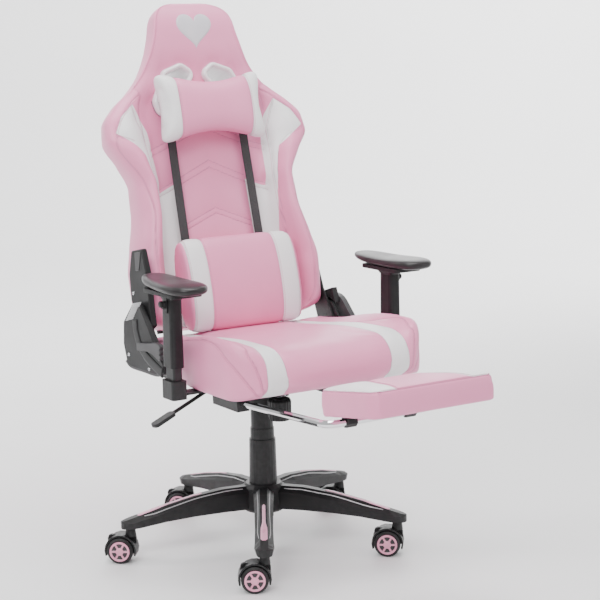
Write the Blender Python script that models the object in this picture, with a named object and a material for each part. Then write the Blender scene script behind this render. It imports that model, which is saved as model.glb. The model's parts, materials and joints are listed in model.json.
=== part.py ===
"""Gaming chair: five-leg base, gas lift, tilt mechanism, seat, reclining back, arms and footrest.

Metres, +Z up, the sitter faces -Y. Every size below is measured from the gas lift's axis and the floor.
"""

from math import atan2, cos, pi, radians, sin, sqrt

import bmesh
import bpy
from mathutils import Matrix, Vector

for old in list(bpy.data.objects):
    bpy.data.objects.remove(old, do_unlink=True)

# ---------------------------------------------------------------- driving dimensions
COLUMN = (0.0147, 0.1519)    # the lift's axis, from the middle of the chair's footprint
GAP = 0.0003                 # between two pieces that touch
STEPS = 24                   # facets round a turned piece

LEG_COUNT = 5
LEG_TURN = radians(-121.1)   # heading of the first leg
STEM_R = 0.320               # lift axis to caster stem
HUB_R, HUB_LOW, HUB_TOP = 0.0495, 0.088, 0.152
LIFT_TUBE_R = 0.0225
PRESSURE_R = 0.014
ROD_R = 0.005
WHEEL_R, WHEEL_OUT, WHEEL_IN = 0.030, 0.0262, 0.0048
AXLE_R = 0.004
TRAIL = 0.022                # stem to axle
CASTER_TURNS = [radians(a) for a in (150, 142, 139, 141, 141)]

KNOB_Y = -0.080
TILT_PIVOT = (0.0, -0.045, 0.398)
LEVER_PIVOT = (-0.060, -0.012, 0.400)
PLATE_LOW, PLATE_TOP = 0.418, 0.4235

SEAT_FRONT, SEAT_REAR = -0.330, 0.105
SEAT_LOW = 0.437
RECLINE = radians(14.25)     # back's lean at rest
HINGE = (0.0, 0.085, 0.505)  # recline axis
FACE = 0.033                 # hinge axis to the back's front plane
BACK_THICK = 0.085
SIDE = 0.2365                # half width of what lies between the hinge plates
ARM_PLATE = (0.2375, 0.2420)
SEAT_PLATE = (0.2425, 0.2470)
INNER_COVER = (0.2480, 0.2620)
OUTER_COVER = (0.2625, 0.2760)
LEVER_SPAN = (0.2765, 0.2880)

ARM_X, ARM_Y = 0.286, -0.115
POST = (0.0110, 0.0185)      # half sizes of the inner arm post
POST_TOP = 0.600
SLEEVE_LOW, SLEEVE_TOP = 0.481, 0.640
RAIL_X, RAIL_R = 0.130, 0.008
RAIL_SLOPE = radians(3.0)    # the rails rise towards the front
RAIL_REAR = -0.045
BAR_Y, BAR_Z = -0.476, 0.400
PAD_TILT = radians(8.8)


# ---------------------------------------------------------------- finishes
def finish(name, colour, roughness, metallic=0.0):
    made = bpy.data.materials.new(name)
    made.use_nodes = True
    shader = made.node_tree.nodes["Principled BSDF"]
    shader.inputs["Base Color"].default_value = (*colour, 1)
    shader.inputs["Roughness"].default_value = roughness
    shader.inputs["Metallic"].default_value = metallic
    made.diffuse_color = (*colour, 1)
    return made


PINK = finish("pink_leather", (0.78, 0.42, 0.56), 0.45)
BLACK = finish("black_plastic", (0.025, 0.025, 0.028), 0.45)
SOFT_BLACK = finish("soft_black", (0.035, 0.033, 0.035), 0.6)
STEEL = finish("black_steel", (0.03, 0.03, 0.032), 0.4, 0.6)
BRIGHT = finish("bright_steel", (0.6, 0.6, 0.62), 0.3, 1.0)
CHROME = finish("chrome", (0.8, 0.8, 0.82), 0.08, 1.0)
GREY = finish("grey_plastic", (0.2, 0.2, 0.21), 0.4)
TYRE = finish("tyre", (0.03, 0.03, 0.032), 0.55)
WEBBING = finish("black_webbing", (0.03, 0.03, 0.03), 0.85)
WHITE_PLASTIC = finish("white_plastic", (0.9, 0.9, 0.9), 0.3)


# ---------------------------------------------------------------- how pieces are placed and made
PLACE = {}


def pivot(name, at, parent=None, turn=(0, 0, 0)):
    """An empty on a joint's axis. `at` is measured from the lift's axis and the floor."""
    empty = bpy.data.objects.new(name, None)
    bpy.context.collection.objects.link(empty)
    start = PLACE[parent.name] if parent else Vector((0, 0, 0))
    empty.parent = parent
    empty.location = Vector(at) - start
    empty.rotation_euler = turn
    PLACE[name] = Vector(at)
    return empty


def place(name, bm, material, parent, smooth=30):
    """Puts bm into the scene as the object called name, under the empty `parent`."""
    bmesh.ops.remove_doubles(bm, verts=bm.verts, dist=1e-6)
    bmesh.ops.recalc_face_normals(bm, faces=bm.faces)
    mesh = bpy.data.meshes.new(name)
    bm.to_mesh(mesh)
    bm.free()
    mesh.materials.append(material)
    if smooth:
        mesh.shade_smooth()
        mesh.set_sharp_from_angle(angle=radians(smooth))
    made = bpy.data.objects.new(name, mesh)
    bpy.context.collection.objects.link(made)
    made.parent = parent
    return made


def turned(profile, closed=False, about="Z", centre=(0, 0, 0), steps=STEPS):
    """A body turned about an axis from (radius, height) points; a closed profile makes a ring."""
    bm = bmesh.new()
    verts = [bm.verts.new((r, 0, z)) for r, z in profile]
    pairs = list(zip(verts, verts[1:])) + ([(verts[-1], verts[0])] if closed else [])
    edges = [bm.edges.new(pair) for pair in pairs]
    bmesh.ops.spin(
        bm, geom=verts + edges, cent=(0, 0, 0), axis=(0, 0, 1), angle=2 * pi, steps=steps, use_merge=True
    )
    turn = {"Z": Matrix(), "Y": Matrix.Rotation(-pi / 2, 4, "X"), "X": Matrix.Rotation(pi / 2, 4, "Y")}[about]
    bm.transform(Matrix.Translation(centre) @ turn)
    return bm


def rod(radius, low, high, about="Z", centre=(0, 0, 0), steps=STEPS):
    """A plain cylinder from low to high along its axis."""
    profile = [(0, low), (radius, low), (radius, high), (0, high)]
    return turned(profile, about=about, centre=centre, steps=steps)


def prism(outline, low, high, along="Z"):
    """A flat outline pushed from low to high. along X takes (y, z) points, Y takes (x, z), Z takes (x, y)."""
    spot = {
        "X": lambda a, b, h: (h, a, b),
        "Y": lambda a, b, h: (a, h, b),
        "Z": lambda a, b, h: (a, b, h),
    }[along]
    return loft([[spot(a, b, h) for a, b in outline] for h in (low, high)])


def loft(sections):
    """A closed body through loops with the same number of points."""
    bm = bmesh.new()
    rings = [[bm.verts.new(point) for point in section] for section in sections]
    for low, high in zip(rings, rings[1:]):
        for i in range(len(low)):
            j = (i + 1) % len(low)
            bm.faces.new((low[i], low[j], high[j], high[i]))
    bm.faces.new(rings[0][::-1])
    bm.faces.new(rings[-1])
    return bm


def rounded(corners, radius, steps=3):
    """The outline at `radius` outside a convex polygon given counter-clockwise."""
    points = []
    for i, (x, y) in enumerate(corners):
        before, after = corners[i - 1], corners[(i + 1) % len(corners)]
        start = atan2(y - before[1], x - before[0]) - pi / 2
        sweep = (atan2(after[1] - y, after[0] - x) - pi / 2 - start) % (2 * pi)
        turns = [start + sweep * k / steps for k in range(steps + 1)]
        points += [(x + radius * cos(a), y + radius * sin(a)) for a in turns]
    return points


def block(x, y, radius, steps=3):
    """A rectangle's outline with half sizes x and y and rounded corners."""
    a, b = x - radius, y - radius
    return rounded([(-a, -b), (a, -b), (a, b), (-a, b)], radius, steps)


def shift(outline, dx, dy):
    return [(x + dx, y + dy) for x, y in outline]


def mirrored(outline):
    return [(-x, y) for x, y in outline]


def joined(*parts):
    """Several separate bodies in one mesh, used as one Boolean operand."""
    whole = bmesh.new()
    for part in parts:
        bmesh.ops.recalc_face_normals(part, faces=part.faces)
        mesh = bpy.data.meshes.new("operand")
        part.to_mesh(mesh)
        part.free()
        whole.from_mesh(mesh)
        bpy.data.meshes.remove(mesh)
    return whole


def shape(target, operation, bm):
    """A Boolean on target with a hidden operand that shares its parent."""
    operand = place(f"{target.name}_{operation.lower()}_{len(target.modifiers)}", bm, STEEL, target.parent)
    operand.location = target.location
    operand.hide_render = True
    operand.display_type = "WIRE"
    step = target.modifiers.new(operation.lower(), "BOOLEAN")
    step.operation = operation
    step.object = operand
    return target


def from_column(piece):
    """Sets a piece whose mesh is measured from the lift's axis in its place under its pivot."""
    piece.location = -PLACE[piece.parent.name]
    return piece


def tube(name, points, radius, material, parent, sides=2):
    """A round bar along points, as a curve with filled caps."""
    curve = bpy.data.curves.new(name, "CURVE")
    curve.dimensions = "3D"
    curve.bevel_depth = radius
    curve.bevel_resolution = sides
    curve.use_fill_caps = True
    spline = curve.splines.new("POLY")
    spline.points.add(len(points) - 1)
    for at, point in zip(spline.points, points):
        at.co = (*point, 1)
    curve.materials.append(material)
    made = bpy.data.objects.new(name, curve)
    bpy.context.collection.objects.link(made)
    made.parent = parent
    return made


def bend(points, radius, steps=4):
    """The points of a path with each inner corner rounded to an arc-like run of `steps` pieces."""
    path = [Vector(points[0])]
    for before, corner, after in zip(points, points[1:], points[2:]):
        corner = Vector(corner)
        back = (Vector(before) - corner).normalized() * radius
        ahead = (Vector(after) - corner).normalized() * radius
        for k in range(steps + 1):
            t = k / steps
            path.append(corner + back * (1 - t) ** 2 + ahead * t**2)
    path.append(Vector(points[-1]))
    return path


SIDES = (("left", -1), ("right", 1))


# ---------------------------------------------------------------- base and casters
def leg_section(reach, half, low, shoulder, ridge):
    return [
        (reach, x, z)
        for x, z in (
            (-half * 0.8, low), (half * 0.8, low), (half, shoulder),
            (half * 0.4, ridge), (-half * 0.4, ridge), (-half, shoulder),
        )
    ]


def leg(heading):
    """A beam that arches down from the hub and ends round the caster's stem."""
    stations = [
        (0.040, 0.0240, 0.094, 0.137, 0.148), (0.100, 0.0225, 0.094, 0.134, 0.147),
        (0.170, 0.0210, 0.092, 0.124, 0.138), (0.240, 0.0200, 0.087, 0.110, 0.123),
        (0.300, 0.0210, 0.080, 0.097, 0.107),
    ]
    for degrees in (0, 30, 55, 75):
        a = radians(degrees)
        stations.append((STEM_R + 0.022 * sin(a), 0.022 * cos(a), 0.079, 0.094, 0.102 - 0.006 * sin(a)))
    bm = loft([leg_section(*station) for station in stations])
    bm.transform(Matrix.Rotation(heading, 4, "Z"))
    return bm


def base(root):
    bore = LIFT_TUBE_R + GAP
    hub = turned(
        [
            (bore, HUB_LOW), (HUB_R - 0.004, HUB_LOW), (HUB_R, HUB_LOW + 0.006),
            (HUB_R, HUB_TOP - 0.008), (HUB_R - 0.008, HUB_TOP), (bore, HUB_TOP),
        ],
        closed=True,
    )
    star = place("base_star", hub, BLACK, root)
    headings = [LEG_TURN - 2 * pi * k / LEG_COUNT for k in range(LEG_COUNT)]
    shape(star, "UNION", joined(*[leg(a) for a in headings]))
    holes = [
        rod(0.0055 + GAP, 0.07, 0.0935, centre=(STEM_R * cos(a), STEM_R * sin(a), 0), steps=12)
        for a in headings
    ]
    shape(star, "DIFFERENCE", joined(*holes))
    for k, (heading, turn) in enumerate(zip(headings, CASTER_TURNS)):
        at = (STEM_R * cos(heading), STEM_R * sin(heading), 0)
        caster(k + 1, pivot(f"caster_pivot_{k + 1}", at, root, (0, 0, turn)))


def caster(number, stem):
    """A swivelling hood on a stem, and a pair of wheels on one axle. +X here is the trailing side."""
    hood = place(f"caster_{number}", rod(0.0055, 0.062, 0.092, steps=12), BLACK, stem)
    arc = [radians(a) for a in range(-20, 201, 20)]
    outside = [(TRAIL + 0.0365 * cos(a), WHEEL_R + 0.0365 * sin(a)) for a in arc]
    inside = [(TRAIL + 0.0325 * cos(a), WHEEL_R + 0.0325 * sin(a)) for a in reversed(arc)]
    shape(hood, "UNION", prism(outside + inside, -0.020, 0.020, along="Y"))
    web = shift(block(0.033, 0.020, 0.008, 2), TRAIL - 0.002, WHEEL_R + 0.014)
    shape(hood, "UNION", prism(web, -0.0042, 0.0042, along="Y"))
    shape(hood, "UNION", turned([(0, 0.060), (0.013, 0.060), (0.011, 0.0765), (0, 0.0765)], steps=12))
    axle = (TRAIL, 0, WHEEL_R)
    shape(hood, "DIFFERENCE", rod(AXLE_R + GAP, -0.01, 0.01, about="Y", centre=axle, steps=12))
    half = [
        (WHEEL_R - 0.004, WHEEL_OUT), (WHEEL_R, WHEEL_OUT - 0.004),
        (WHEEL_R, WHEEL_IN + 0.003), (WHEEL_R - 0.003, WHEEL_IN), (AXLE_R, WHEEL_IN),
    ]
    profile = [(0, WHEEL_OUT), *half, *[(r, -h) for r, h in reversed(half)], (0, -WHEEL_OUT)]
    spin = pivot(f"wheel_pivot_{number}", PLACE[stem.name], stem)
    spin.location = axle
    place(f"wheels_{number}", turned(profile, about="Y"), TYRE, spin)


# ---------------------------------------------------------------- gas lift and mechanism
def sleeve(outer_low, outer_high, inner, low, high):
    """A turned sleeve, open at both ends, whose outside may taper."""
    return turned([(inner, low), (outer_low, low), (outer_high, high), (inner, high)], closed=True)


def gas_lift(root):
    wall = 0.0155
    place(
        "lift_outer_tube",
        turned(
            [
                (0.0062, 0.070), (LIFT_TUBE_R, 0.070), (LIFT_TUBE_R, 0.250),
                (wall, 0.250), (wall, 0.074), (0.0062, 0.074),
            ],
            closed=True,
        ),
        STEEL, root,
    )
    place("cover_lower", sleeve(0.0325, 0.0308, 0.0285, HUB_TOP + GAP, 0.257), BLACK, root)
    place("cover_middle", sleeve(0.0278, 0.0278, 0.0265, 0.215, 0.283), BLACK, root)
    place("cover_upper", sleeve(0.0260, 0.0260, 0.0245, 0.255, 0.3555), BLACK, root)
    head = [(0, 0.0635), (0.008, 0.0635), (0.008, 0.0695), (ROD_R, 0.0695), (ROD_R, 0.300), (0, 0.300)]
    place("lift_piston_rod", turned(head, steps=16), BRIGHT, root)
    place("thrust_bearing", sleeve(0.0125, 0.0125, ROD_R + GAP, 0.0743, 0.080), BRIGHT, root)
    guide = ROD_R + GAP
    place(
        "lift_pressure_tube",
        turned(
            [
                (guide, 0.130), (PRESSURE_R, 0.130), (PRESSURE_R, 0.388), (0, 0.388),
                (0, 0.382), (0.0115, 0.382), (0.0115, 0.138), (guide, 0.138),
            ],
            closed=True,
        ),
        BRIGHT, root,
    )


def mechanism(root):
    """The pressed housing that grips the lift, with its tension spring, knob, pin and lever."""
    side_view = [
        (0.055, 0.392), (0.0, 0.392), (-0.020, 0.405), (-0.110, 0.405),
        (-0.110, 0.386), (-0.048, 0.386), (-0.036, 0.356), (0.032, 0.356), (0.055, 0.370),
    ]
    housing = place("tilt_housing", prism(side_view, -0.052, 0.052, along="X"), STEEL, root)
    shape(housing, "DIFFERENCE", rod(PRESSURE_R + GAP, 0.34, 0.3885))
    shape(housing, "DIFFERENCE", rod(0.0045 + GAP, 0.37, 0.402, centre=(0, KNOB_Y, 0), steps=12))
    pin_at = TILT_PIVOT
    shape(housing, "DIFFERENCE", rod(0.004 + GAP, -0.07, 0.07, about="X", centre=pin_at, steps=12))
    place("tilt_pin", rod(0.004, -0.062, 0.062, about="X", centre=pin_at, steps=12), BRIGHT, root)

    knob_pivot = pivot("knob_pivot", (0, KNOB_Y, 0), root)
    ribs = 20
    sections = []
    for r, z in ((0.0225, 0.316), (0.0262, 0.321), (0.0268, 0.360), (0.0235, 0.366)):
        fluted = [r * (0.95 if k % 2 else 1) for k in range(2 * ribs)]
        sections.append([(f * cos(pi * k / ribs), f * sin(pi * k / ribs), z) for k, f in enumerate(fluted)])
    knob = place("tension_knob", loft(sections), BLACK, knob_pivot)
    shape(knob, "UNION", rod(0.0045, 0.350, 0.400, steps=12))

    turns, points = 3, []
    for k in range(turns * 12 + 1):
        a = 2 * pi * k / 12
        points.append((0.0135 * cos(a), KNOB_Y + 0.0135 * sin(a), 0.3692 + 0.0138 * k / (turns * 12)))
    tube("tilt_spring", points, 0.0016, BRIGHT, root, sides=1)


def height_lever(root):
    """The release lever: a cranked rod in a bush on the housing's side, with a flat grip."""
    bush_pivot = pivot("lever_pivot", LEVER_PIVOT, root)
    bore = 0.0045 + GAP
    ring = [(bore, -0.0065), (0.008, -0.0065), (0.008, 0.0077), (bore, 0.0077)]
    place("lever_bush", turned(ring, closed=True, about="X", steps=16), STEEL, bush_pivot)
    path = bend([(0.0075, 0, 0), (-0.070, 0, 0.0005), (-0.185, -0.018, -0.042)], 0.03)
    tube("height_lever", path, 0.0045, STEEL, bush_pivot)
    tip = Matrix.Translation((-0.1858, -0.0181, -0.0423))
    grip = shift(block(0.030, 0.012, 0.008, 3), -0.0305, 0)
    bm = prism(grip, -0.004, 0.004)
    slope = Matrix.Rotation(-radians(20), 4, "Y") @ Matrix.Rotation(radians(9), 4, "Z")
    bm.transform(tip @ slope)
    place("height_lever_grip", bm, BLACK, bush_pivot)


# ---------------------------------------------------------------- seat
def seat_plate(tilt):
    """The pressed plate that rocks on the tilt pin and carries the seat."""
    _, pin_y, pin_z = TILT_PIVOT
    outline = shift(block(0.100, 0.117, 0.02), 0, -0.0125)
    plate = from_column(place("seat_plate", prism(outline, PLATE_LOW, PLATE_TOP), STEEL, tilt))
    ear = [(-0.025, 0.021), (-0.025, 0.010), (-0.013, -0.010)]
    ear += [(0.011, -0.010), (0.020, 0.010), (0.020, 0.021)]
    ears = [prism(shift(ear, pin_y, pin_z), side * 0.0535, side * 0.0575, along="X") for side in (-1, 1)]
    shape(plate, "UNION", joined(*ears))
    shape(plate, "DIFFERENCE", rod(0.004 + GAP, -0.07, 0.07, about="X", centre=TILT_PIVOT, steps=12))


def seat_section(y, half, crown, bolster, low):
    """Half of a cross-section at y, from the middle of the top round to the middle of the bottom."""
    top = crown + bolster
    right = [
        (0.0, crown + 0.0015), (0.07, crown), (0.115, crown + 0.001), (0.150, crown + bolster * 0.35),
        (half - 0.045, top - 0.004), (half - 0.022, top), (half - 0.006, top - 0.014),
        (half, (top + low) / 2), (half - 0.006, low + 0.020), (half - 0.030, low), (0.0, low),
    ]
    left = [(-x, z) for x, z in reversed(right[1:-1])]
    return [(x, y, z) for x, z in right + left]


def seat(tilt):
    seat_plate(tilt)
    board = shift(block(0.200, 0.180, 0.03), 0, -0.090)
    from_column(place("seat_pan", prism(board, PLATE_TOP + GAP, SEAT_LOW - GAP), STEEL, tilt))
    stations = [
        (SEAT_FRONT, 0.185, 0.475, 0.004, 0.452), (-0.322, 0.205, 0.490, 0.012, 0.444),
        (-0.300, 0.228, 0.500, 0.030, 0.440), (-0.260, 0.243, 0.507, 0.044, SEAT_LOW),
        (-0.180, 0.250, 0.509, 0.046, SEAT_LOW), (-0.080, 0.248, 0.505, 0.040, SEAT_LOW),
        (-0.030, 0.2365, 0.502, 0.036, SEAT_LOW), (0.040, 0.228, 0.498, 0.028, SEAT_LOW),
        (0.085, 0.205, 0.493, 0.018, SEAT_LOW), (SEAT_REAR, 0.180, 0.486, 0.008, SEAT_LOW + 0.006),
    ]
    from_column(place("seat_cushion", loft([seat_section(*s) for s in stations]), PINK, tilt, smooth=60))
    for name, side in SIDES:
        rail_guide(name, side, tilt)
        arm_mount(name, side, tilt)


def rail_bed():
    """Carries a shape from the footrest's own frame, whose +Y runs back along the rails, into place."""
    return Matrix.Translation((0, BAR_Y, BAR_Z)) @ Matrix.Rotation(-RAIL_SLOPE, 4, "X")


def rail_guide(name, side, tilt):
    """A moulded guide under the pan that a footrest rail runs through."""
    front, rear, low = -0.140, -0.030, 0.3645
    outline = [(-0.015, low), (0.015, low), (0.018, PLATE_TOP), (-0.018, PLATE_TOP)]
    body = prism(shift(outline, side * RAIL_X, 0), front, rear, along="Y")
    guide = from_column(place(f"rail_guide_{name}", body, BLACK, tilt))
    bore = rod(RAIL_R + GAP, 0.3, 0.5, about="Y", centre=(side * RAIL_X, 0, 0), steps=16)
    bore.transform(rail_bed())
    shape(guide, "DIFFERENCE", bore)


def arm_steel(side, grow):
    """The flat bar and the upright post of an arm bracket, `grow` larger all round."""
    bar_low, bar_top = 0.4185, PLATE_TOP
    inner, outer = sorted((side * 0.155, side * (ARM_X + POST[0] + grow)))
    near, far = ARM_Y - 0.018 - grow, ARM_Y + 0.018 + grow
    bar = prism([(inner, near), (outer, near), (outer, far), (inner, far)], bar_low - grow, bar_top + grow)
    upright = shift(block(POST[0] + grow, POST[1] + grow, 0.004, 2), side * ARM_X, ARM_Y)
    return bar, prism(upright, bar_low - grow, POST_TOP)


def arm_mount(name, side, tilt):
    """A flat steel bar with an upright post, and the plastic shoe round its corner."""
    bar, post = arm_steel(side, 0)
    bracket = from_column(place(f"arm_bracket_{name}", bar, STEEL, tilt))
    shape(bracket, "UNION", post)
    outline = shift(block(0.0182, 0.0265, 0.007), side * ARM_X, ARM_Y)
    shoe = from_column(place(f"arm_shoe_{name}", prism(outline, 0.412, 0.4525), BLACK, tilt))
    for room in arm_steel(side, GAP):
        shape(shoe, "DIFFERENCE", room)


# ---------------------------------------------------------------- recliner
def fan(radius, start, stop, steps=8):
    """Points (y, z) on an arc about the hinge axis, angles from the rear up, in degrees."""
    turns = [radians(start + (stop - start) * k / steps) for k in range(steps + 1)]
    return [(radius * cos(a), radius * sin(a)) for a in turns]


def recliner(name, side, hinge, back):
    """Hinge plates and covers on one side; each lies in its own layer, so they pass each other."""

    def layer(span):
        return sorted((side * span[0], side * span[1]))

    fixed = fan(0.040, 150, 20) + [(0.050, -0.030), (0.050, -0.074), (-0.100, -0.074), (-0.100, -0.050)]
    plate = place(f"hinge_plate_{name}", prism(fixed, *layer(SEAT_PLATE), along="X"), STEEL, hinge)
    ends = sorted((side * (ARM_PLATE[0] - 0.0005), side * (INNER_COVER[1] - 0.001)))
    shape(plate, "UNION", rod(0.008, *ends, about="X", steps=16))

    swinging = fan(0.036, 200, 340) + [(0.046, 0.060), (0.046, 0.165), (0.010, 0.165), (-0.004, 0.070)]
    arm = place(f"hinge_arm_{name}", prism(swinging, *layer(ARM_PLATE), along="X"), STEEL, back)
    shape(arm, "DIFFERENCE", rod(0.008 + GAP, -0.3, 0.3, about="X", steps=16))

    tall = [(0.040, 0.090), (0.020, 0.200), (-0.052, 0.206), (-0.060, 0.120)]
    upper = fan(0.046, 140, 35) + (tall if side < 0 else [(0.036, 0.062), (-0.030, 0.066)])
    place(f"cover_back_{name}", prism(upper, *layer(INNER_COVER), along="X"), BLACK, back)

    skirt = [(0.066, 0.016), (0.062, -0.030), (0.040, -0.064), (-0.110, -0.066), (-0.130, -0.048)]
    lower = fan(0.055, 130, 30) + skirt
    place(f"cover_seat_{name}", prism(lower, *layer(OUTER_COVER), along="X"), GREY, hinge)


def recline_lever(hinge):
    """The pull-up handle on the sitter's right that frees the back."""
    ends = (-LEVER_SPAN[1], -LEVER_SPAN[0])
    grip = pivot("recline_lever_pivot", (0, HINGE[1] - 0.035, HINGE[2] - 0.010), hinge)
    handle = [(-0.040, 0.014), (-0.098, 0.020), (-0.104, 0.006), (-0.090, -0.002), (-0.030, -0.010)]
    outline = fan(0.015, -80, 80, 6) + handle
    place("recline_lever", prism(outline, *ends, along="X"), GREY, grip)


# ---------------------------------------------------------------- back
def back_section(height, half, lip, wing, thick):
    """Cross-section of the back at a height along it. wing is how far the sides stand forward."""
    inner = half * 0.60
    front = FACE - lip
    rear = FACE + thick
    right = [
        (0.0, front), (inner, front), (inner + (half - inner) * 0.30, front - wing * 0.45),
        (inner + (half - inner) * 0.62, front - wing), (half - 0.008, front - wing * 0.85),
        (half, front - wing * 0.30), (half - 0.005, (front + rear) / 2), (half - 0.030, rear - 0.010),
        (half * 0.66, rear), (0.0, rear),
    ]
    left = [(-x, y) for x, y in reversed(right[1:-1])]
    return [(x, y, height) for x, y in right + left]


BACK_STATIONS = [
    (0.012, 0.200, 0.000, 0.004, 0.070), (0.030, 0.226, 0.000, 0.020, 0.080),
    (0.070, SIDE, 0.000, 0.050, BACK_THICK), (0.150, SIDE, 0.000, 0.066, BACK_THICK),
    (0.210, 0.223, 0.000, 0.066, BACK_THICK), (0.300, 0.210, 0.000, 0.060, BACK_THICK),
    (0.350, 0.210, 0.000, 0.056, BACK_THICK), (0.410, 0.236, 0.000, 0.052, BACK_THICK),
    (0.465, 0.266, 0.000, 0.046, BACK_THICK), (0.500, 0.262, 0.000, 0.038, 0.082),
    (0.540, 0.230, 0.000, 0.026, 0.080), (0.575, 0.188, 0.002, 0.012, 0.078),
    (0.620, 0.147, 0.006, 0.002, 0.076), (0.680, 0.118, 0.022, 0.002, 0.070),
    (0.730, 0.106, 0.026, 0.002, 0.064), (0.762, 0.095, 0.022, 0.000, 0.054),
    (0.780, 0.076, 0.012, 0.000, 0.036), (0.786, 0.058, 0.004, 0.000, 0.022),
]
SLOT = [(0.084, 0.545), (0.103, 0.535), (0.107, 0.548), (0.078, 0.606), (0.045, 0.618), (0.034, 0.610)]
SLOT_OUTER, SLOT_INNER = 0.016, 0.009


def slot_outline(side, radius):
    outline = rounded(SLOT, radius, 3)
    return outline if side > 0 else mirrored(outline)


def frame_path(drop):
    """The steel tube inside the back: up one side, across below the slots and down the other."""
    depth = FACE + 0.042
    corners = [(-0.170, depth, 0.012 - drop), (-0.170, depth, 0.300), (-0.150, depth, 0.470),
               (0.150, depth, 0.470), (0.170, depth, 0.300), (0.170, depth, 0.012 - drop)]
    return bend(corners, 0.05, 3)


def back_rest(back):
    cushion = place("back_cushion", loft([back_section(*s) for s in BACK_STATIONS]), PINK, back, smooth=60)
    holes = [prism(slot_outline(side, SLOT_OUTER + GAP), -0.1, 0.3, along="Y") for _, side in SIDES]
    shape(cushion, "DIFFERENCE", joined(*holes))
    channel = tube("frame_channel", frame_path(0.05), 0.0110 + GAP, STEEL, back)
    bpy.context.view_layer.update()
    graph = bpy.context.evaluated_depsgraph_get()
    bm = bmesh.new()
    bm.from_mesh(channel.evaluated_get(graph).to_mesh())
    bpy.data.objects.remove(channel, do_unlink=True)
    shape(cushion, "DIFFERENCE", bm)
    tube("back_frame", frame_path(-0.001), 0.0110, STEEL, back)
    for name, side in SIDES:
        body = prism(slot_outline(side, SLOT_OUTER), 0.024, 0.118, along="Y")
        ring = place(f"slot_ring_{name}", body, WHITE_PLASTIC, back)
        shape(ring, "DIFFERENCE", prism(slot_outline(side, SLOT_INNER), 0.0, 0.2, along="Y"))
        strap = [(0.089, 0.205), (0.111, 0.205), (0.108, 0.462), (0.086, 0.462)]
        strap = strap if side > 0 else mirrored(strap)
        place(f"strap_{name}", prism(strap, FACE - 0.012, FACE - 0.010, along="Y"), WEBBING, back)


def pillow(name, half, y_span, z_span, flare, material, back):
    """A stuffed pillow lofted across the back, rounder in the middle and pinched at its ends."""
    sections = []
    for k in range(11):
        t = sin(pi / 2 * (k - 5) / 5)
        fat = sqrt(max(1 - t**6, 0.12))
        tall = (z_span[1] - z_span[0]) / 2 * (1 + flare * t * t) * (1 - 0.10 * t**8)
        deep = (y_span[1] - y_span[0]) / 2 * fat
        y_mid, z_mid = y_span[1] - deep, (z_span[0] + z_span[1]) / 2
        loop = []
        for j in range(16):
            a = 2 * pi * j / 16
            cy, cz = cos(a), sin(a)
            loop.append((
                t * half,
                y_mid - deep * (abs(cy) ** 0.8) * (1 if cy > 0 else -1),
                z_mid + tall * (abs(cz) ** 0.7) * (1 if cz > 0 else -1),
            ))
        sections.append(loop)
    return place(name, loft(sections), material, back, smooth=60)


# ---------------------------------------------------------------- arms
def arm(name, side, tilt):
    """The sleeve that slides on the post, its padded top and its push button."""
    slide = pivot(f"arm_slide_{name}", (side * ARM_X, ARM_Y, SLEEVE_LOW), tilt)
    tall = SLEEVE_TOP - SLEEVE_LOW
    outer = [[(x, y, z) for x, y in block(a, b, 0.009)]
             for a, b, z in ((0.0155, 0.0238, 0), (0.0148, 0.0228, tall - 0.012), (0.0195, 0.034, tall))]
    tube_body = place(f"arm_sleeve_{name}", loft(outer), BLACK, slide)
    bore = prism(block(POST[0] + 0.0004, POST[1] + 0.0004, 0.004, 2), -0.01, 0.148)
    shape(tube_body, "DIFFERENCE", bore)
    pocket = (side * 0.0150, 0, tall - 0.022)
    inner_end, outer_end = sorted((side * -0.0028, side * 0.01))
    hole = prism(block(0.0065, 0.0085, 0.003, 2), inner_end, outer_end, along="X")
    hole.transform(Matrix.Translation(pocket))
    shape(tube_body, "DIFFERENCE", hole)
    press = pivot(f"arm_button_pivot_{name}", PLACE[slide.name] + Vector(pocket), slide)
    low, high = sorted((side * 0.0005, side * 0.0090))
    place(f"arm_button_{name}", prism(block(0.0060, 0.0080, 0.003, 2), low, high, along="X"), BLACK, press)

    length = 0.240
    sections = []
    for k in range(12):
        t = -1 + 2 * k / 11
        y = t * length / 2 - 0.005
        wide = (0.047 - 0.006 * t) * sqrt(max(1 - abs(t) ** 5, 0.10))
        thick = 0.0125 * sqrt(max(1 - abs(t) ** 6, 0.2))
        middle = tall + 0.0195 + 0.006 * t * t + (0.004 if t > 0 else 0) * t
        sections.append([
            (wide * cos(a), y, middle + thick * sin(a))
            for a in [2 * pi * j / 12 for j in range(12)]
        ])
    pad = loft(sections)
    floor_cut = tall + GAP
    bmesh.ops.bisect_plane(
        pad, geom=pad.verts[:] + pad.edges[:] + pad.faces[:], plane_co=(0, 0, floor_cut),
        plane_no=(0, 0, -1), clear_outer=True,
    )
    bmesh.ops.holes_fill(pad, edges=pad.edges)
    pad.transform(Matrix.Rotation(side * radians(4), 4, "Z"))
    place(f"arm_pad_{name}", pad, SOFT_BLACK, slide, smooth=60)


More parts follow.
